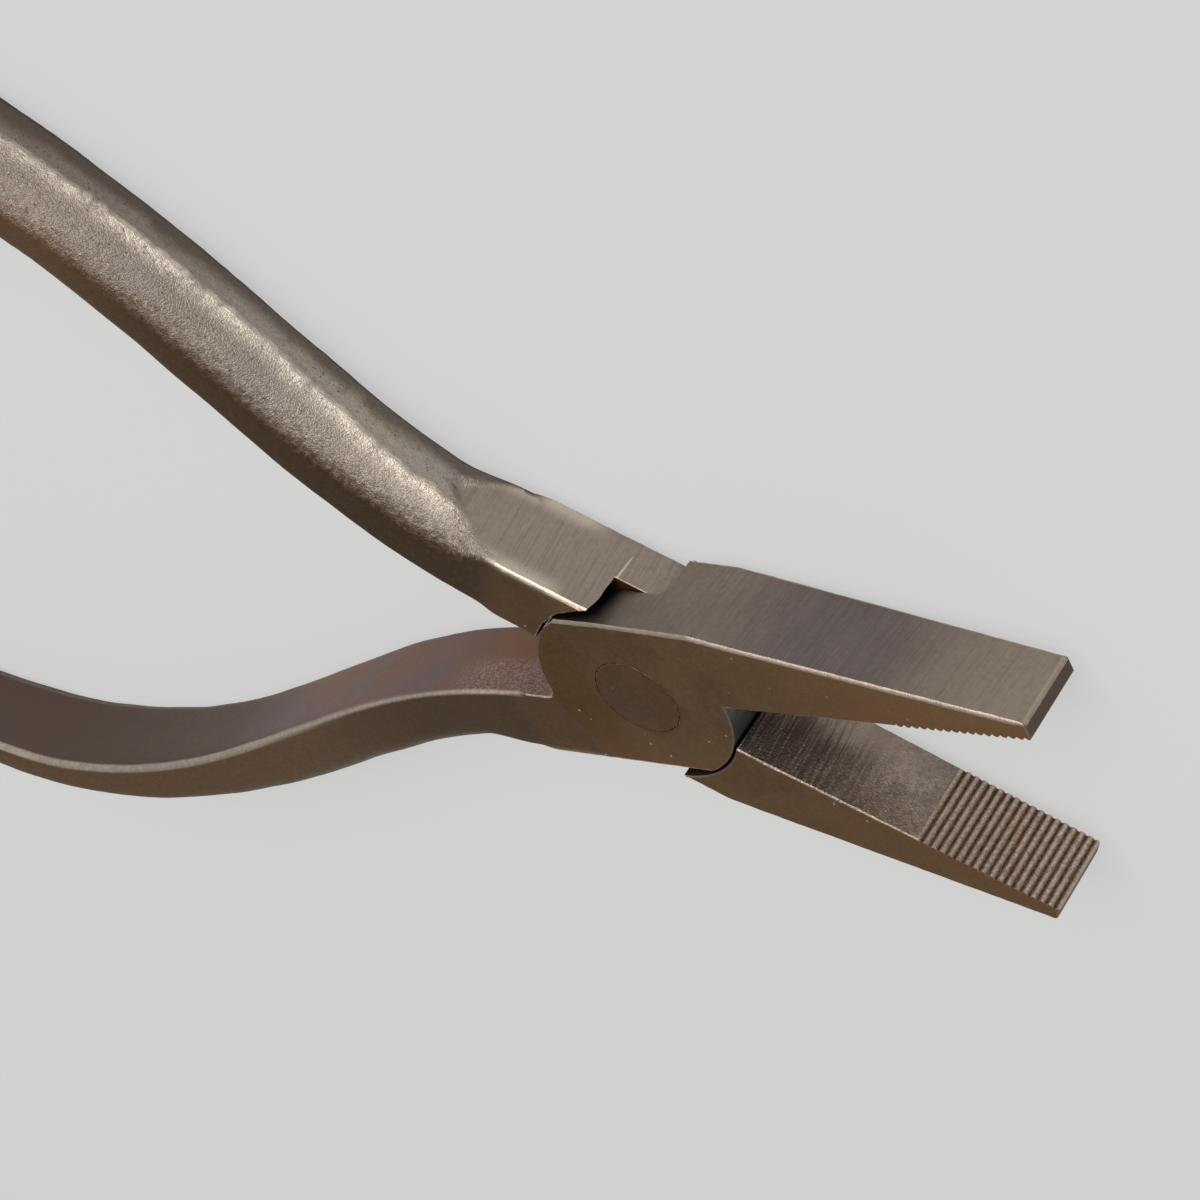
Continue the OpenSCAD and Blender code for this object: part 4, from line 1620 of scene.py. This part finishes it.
@dataclass(frozen=True)
class SteelRoughness:
    """Roughness of each kind of surface, and the heights of the marks on it."""

    side: float = 0.45
    ground: float = 0.42
    forged: float = 0.44
    flash: float = 0.42
    cut: float = 0.75
    bare: float = 0.38
    mottle: float = 0.08
    mark_gain: Range = (-3.0, -9.0, 1.0, 1.7)
    score_gain: Range = (24.0, 14.0, 1.5, 6.0)
    groove_rough: Range = (0.0, 0.1, 0.0, 0.7)
    flat_rough: Range = (0.4, 0.95, 0.0, 0.6)
    face_rough: float = 0.9
    pit_height: float = 0.62
    skin_gain: float = 1.1
    skin_least: float = 0.3

    def value(self, s: SteelSheet) -> Socket:
        """Roughness of the whole piece."""
        roughness = s.blend(s.side, self.ground, self.side)
        roughness = s.blend(s.forged, roughness, self.forged)
        roughness = s.blend(s.flash, roughness, self.flash)
        roughness = s.blend(s.math("MAXIMUM", s.cut, s.round_end), roughness, self.cut)
        roughness = s.math("MULTIPLY_ADD", s.clouds["Mottle"], self.mottle, roughness)
        return s.blend(s.wear_and_sheen, roughness, self.bare)

    def height(self, s: SteelSheet) -> Socket:
        """Height of the fine marks and pits, in millimetres."""
        smooth = s.math("SUBTRACT", 1.0, s.math("MAXIMUM", s.side, s.forged))
        height = s.both(s.marks["Height"], s.both(smooth, s.rise(s.x, *self.mark_gain)))
        rough_face = s.math("MAXIMUM", s.brushed, s.rise(s.grooved, *self.groove_rough))
        scored = s.both(s.brushed, s.rise(s.x, *self.score_gain))
        height = s.math("MULTIPLY_ADD", s.scores["Height"], scored, height)
        flat_side = s.rise(s.upright, *self.flat_rough)
        rough_skin = s.both(s.forged, s.math("MAXIMUM", s.outward, flat_side))
        rough_skin = s.math("MAXIMUM", rough_skin, s.share(rough_face, self.face_rough))
        height = s.math("MULTIPLY_ADD", s.pits["Height"], s.share(rough_skin, self.pit_height), height)
        skin = s.math("MULTIPLY_ADD", rough_skin, self.skin_gain, self.skin_least)
        return s.math("MULTIPLY_ADD", s.skin["Height"], skin, height)


@dataclass(frozen=True)
class SteelFinish:
    """Aged bare steel of one piece, put together from the paint of its regions."""

    name: str
    colours: SteelColours = SteelColours()
    sides: SidePaint = SidePaint()
    ground: GroundPaint = GroundPaint()
    work: WorkPaint = WorkPaint()
    grip: GripPaint = GripPaint()
    handle: HandlePaint = HandlePaint()
    scratch: Scratch = Scratch()
    surface: SteelRoughness = SteelRoughness()
    scratched: float = 0.0
    metallic: float = 0.9
    grooves: Range = (0.0, 0.1)
    ring_reach: float = 3.98
    ring_width: Range = (0.34, 0.1)
    ring_clouds: Range = (0.0, 0.6, 0.5, 0.95)
    cut: float = 0.85
    flecks: float = 0.45
    # share of the painted shade in corners
    painted_shade: float = 0.85

    def colour(self, s: SteelSheet) -> Socket:
        """Colour of the whole piece."""
        c = self.colours
        ground = s.mix(s.brushed, self.ground.colour(s, c), self.work.colour(s, c))
        ground = s.mix(s.rise(s.grooved, *self.grooves), ground, self.grip.colour(s, c))
        flat = s.mix(s.side, ground, self.sides.colour(s, c))
        off_ring = s.math("ABSOLUTE", s.math("SUBTRACT", s.reach, self.ring_reach))
        ring = s.both(s.rise(off_ring, *self.ring_width), s.side)
        return s.coats(
            s.mix(s.forged, flat, self.handle.colour(s, c)),
            (s.share(s.cut, self.cut), c.rust),
            (s.both(ring, s.rise(s.clouds["Clouds"], *self.ring_clouds)), c.ring_rust),
            (s.share(s.clouds["Flecks"], self.flecks), c.side_dark),
            # painted shade in corners and behind the joint
            (s.share(s.painted_shade, self.painted_shade), c.painted_shade),
            (s.share(self.scratch.mask(s), self.scratched), c.flash),
            # rubbed edges as bare metal; paler on the handle, where the inner edges carry a painted highlight
            (s.wear_and_sheen, s.mix(s.forged, c.bare, c.flash)))

    def material(self, effects: Effects, placement: Matrix) -> bpy.types.Material:
        """Builds the steel's material.

        Args:
            effects: The shared effect groups.
            placement: Turn and lift from the piece's own frame to the shared frame, in millimetres.

        Returns:
            The new material.
        """
        made = bpy.data.materials.new(self.name)
        made.use_nodes = True
        made.node_tree.nodes.clear()
        s = SteelSheet(made.node_tree, effects, placement)
        bump = s.add("ShaderNodeBump")
        s.feed(bump.inputs["Height"], self.surface.height(s))
        s.feed(bump.inputs["Distance"], MM)
        steel = s.add("ShaderNodeBsdfPrincipled")
        s.feed(steel.inputs["Base Color"], self.colour(s))
        s.feed(steel.inputs["Metallic"], self.metallic)
        s.feed(steel.inputs["Roughness"], self.surface.value(s))
        s.feed(steel.inputs["Normal"], bump.outputs[0])
        s.feed(s.add("ShaderNodeOutputMaterial").inputs["Surface"], steel.outputs[0])
        return made


@dataclass(frozen=True)
class Studio:
    """Pale floor, soft lamps and the camera."""

    floor_reach: float = 3.0
    floor_colour: str = "#dcdcdb"
    shadow_share: float = 0.28
    mirrored_shadow_share: float = 0.75
    world_strength: float = 0.36
    camera_azimuth: float = 56.595
    camera_elevation: float = 30.533
    camera_distance: float = 0.28781
    camera_roll: float = -143.902
    camera_aim: Range = (-0.00482, 0.005746, 0.0042)
    lens: float = 105.0
    sensor_width: float = 36.0
    clip: Point = (0.01, 10.0)

    def towards(self, azimuth: float, elevation: float) -> Vector:
        """Direction that an azimuth from +X and an elevation give, in degrees."""
        a, e = math.radians(azimuth), math.radians(elevation)
        return Vector((math.cos(a) * math.cos(e), math.sin(a) * math.cos(e), math.sin(e)))

    def camera(self) -> bpy.types.Object:
        """Places the camera where the photograph was taken from."""
        data = bpy.data.cameras.new("camera")
        data.lens, data.sensor_width = self.lens, self.sensor_width
        data.clip_start, data.clip_end = self.clip
        made = bpy.data.objects.new("camera", data)
        bpy.context.scene.collection.objects.link(made)
        back = self.towards(self.camera_azimuth, self.camera_elevation)
        turn = (-back).to_track_quat("-Z", "Y").to_matrix().to_4x4()
        roll = Matrix.Rotation(math.radians(self.camera_roll), 4, "Z")
        place = Matrix.Translation(Vector(self.camera_aim) + back * self.camera_distance)
        made.matrix_world = place @ turn @ roll
        bpy.context.scene.camera = made
        return made

    def lamp(self, name: str, azimuth: float, elevation: float, distance: float, size: float,
             strength: float) -> None:
        """Hangs a square soft lamp that faces the object.

        Args:
            name: Name of the lamp.
            azimuth: Angle from +X towards +Y, in degrees.
            elevation: Angle above the floor, in degrees.
            distance: Distance from the origin, in metres.
            size: Width of the lamp, in metres.
            strength: Radiance of the lamp's face, where 1 is white.
        """
        data = bpy.data.lights.new(name, "AREA")
        data.shape, data.size = "SQUARE", size
        data.energy = strength * math.pi * size * size
        made = bpy.data.objects.new(name, data)
        bpy.context.scene.collection.objects.link(made)
        back = self.towards(azimuth, elevation)
        made.location = back * distance
        made.rotation_mode = "QUATERNION"
        made.rotation_quaternion = (-back).to_track_quat("-Z", "Y")

    def floor(self) -> bpy.types.Object:
        """Lays the floor that the tool lies on."""
        r, z = self.floor_reach, CAD_BOX[0].z
        mesh = bpy.data.meshes.new("floor")
        mesh.from_pydata([(-r, -r, z), (r, -r, z), (r, r, z), (-r, r, z)], [], [(0, 1, 2, 3)])
        made = new_object("floor", mesh)
        mesh.materials.append(self.floor_material())
        return made

    def floor_material(self) -> bpy.types.Material:
        """Plain pale paint that keeps the object's shadow, but shows a lighter one."""
        made = bpy.data.materials.new("pale floor")
        made.use_nodes = True
        made.node_tree.nodes.clear()
        s = NodeSheet(made.node_tree)
        paint = s.add("ShaderNodeBsdfDiffuse")
        s.feed(paint.inputs["Color"], linear(self.floor_colour))
        glow = s.add("ShaderNodeEmission")
        s.feed(glow.inputs["Color"], linear(self.floor_colour))
        path = s.add("ShaderNodeLightPath").outputs
        seen = s.math("MAXIMUM", path["Is Camera Ray"], path["Is Transmission Ray"])
        glow_share = s.math("MULTIPLY", path["Is Glossy Ray"], 1 - self.mirrored_shadow_share)
        both = s.add("ShaderNodeMixShader")
        s.feed(both.inputs[0], s.math("MULTIPLY_ADD", seen, 1 - self.shadow_share, glow_share))
        s.feed(both.inputs[1], paint.outputs[0])
        s.feed(both.inputs[2], glow.outputs[0])
        s.feed(s.add("ShaderNodeOutputMaterial").inputs["Surface"], both.outputs[0])
        return made

    def world(self) -> None:
        """Plain grey room light, with the floor's own colour where the camera sees past the floor."""
        world = bpy.data.worlds.new("room")
        world.use_nodes = True
        world.node_tree.nodes.clear()
        s = NodeSheet(world.node_tree)
        room = s.add("ShaderNodeBackground")
        s.feed(room.inputs["Color"], (1.0, 1.0, 1.0, 1.0))
        s.feed(room.inputs["Strength"], self.world_strength)
        wall = s.add("ShaderNodeBackground")
        s.feed(wall.inputs["Color"], linear(self.floor_colour))
        both = s.add("ShaderNodeMixShader")
        s.feed(both.inputs[0], s.add("ShaderNodeLightPath").outputs["Is Camera Ray"])
        s.feed(both.inputs[1], room.outputs[0])
        s.feed(both.inputs[2], wall.outputs[0])
        s.feed(s.add("ShaderNodeOutputWorld").inputs["Surface"], both.outputs[0])
        bpy.context.scene.world = world

    def build(self) -> None:
        """Sets the stage, the lamps and the camera."""
        self.floor()
        self.world()
        self.lamp("key", azimuth=95, elevation=40, distance=1.2, size=0.95, strength=3.0)
        self.camera()
        bpy.context.scene.view_settings.view_transform = "Standard"


def main() -> None:
    """Builds the stage, the two forgings and the rivet, and dresses them."""
    # noise_vector takes its offsets from the clock unless a seed is set.
    noise.seed_set(WEAR_SEED)
    Studio().build()
    closing = frame["record"]["behaviour"]["joints"][0]["range_deg"][1]
    opening = math.radians(closing)
    effects = Effects.make()
    front = Forging(Side.FRONT, joint_edge=8.4, bow_y=23.1, bow_pull=33, roughness=0.5, opening=opening)
    rear = Forging(Side.REAR, joint_edge=8.0, bow_y=24.9, bow_pull=40, roughness=1.0, opening=opening,
                   spread=0.2)
    for half in (front, rear):
        finish = SteelFinish(f"{half.side.value} steel", scratched=0.9 if half is rear else 0.0)
        half.build().data.materials.append(finish.material(effects, half.placement))
    finish = SteelFinish("rivet steel", SteelColours(side_brown="#7f6043", side_dark="#5f4831"))
    Rivet().build().data.materials.append(finish.material(effects, Matrix.Identity(4)))


if __name__ == "__main__":
    logging.basicConfig(level=logging.INFO, format="%(message)s")
    main()
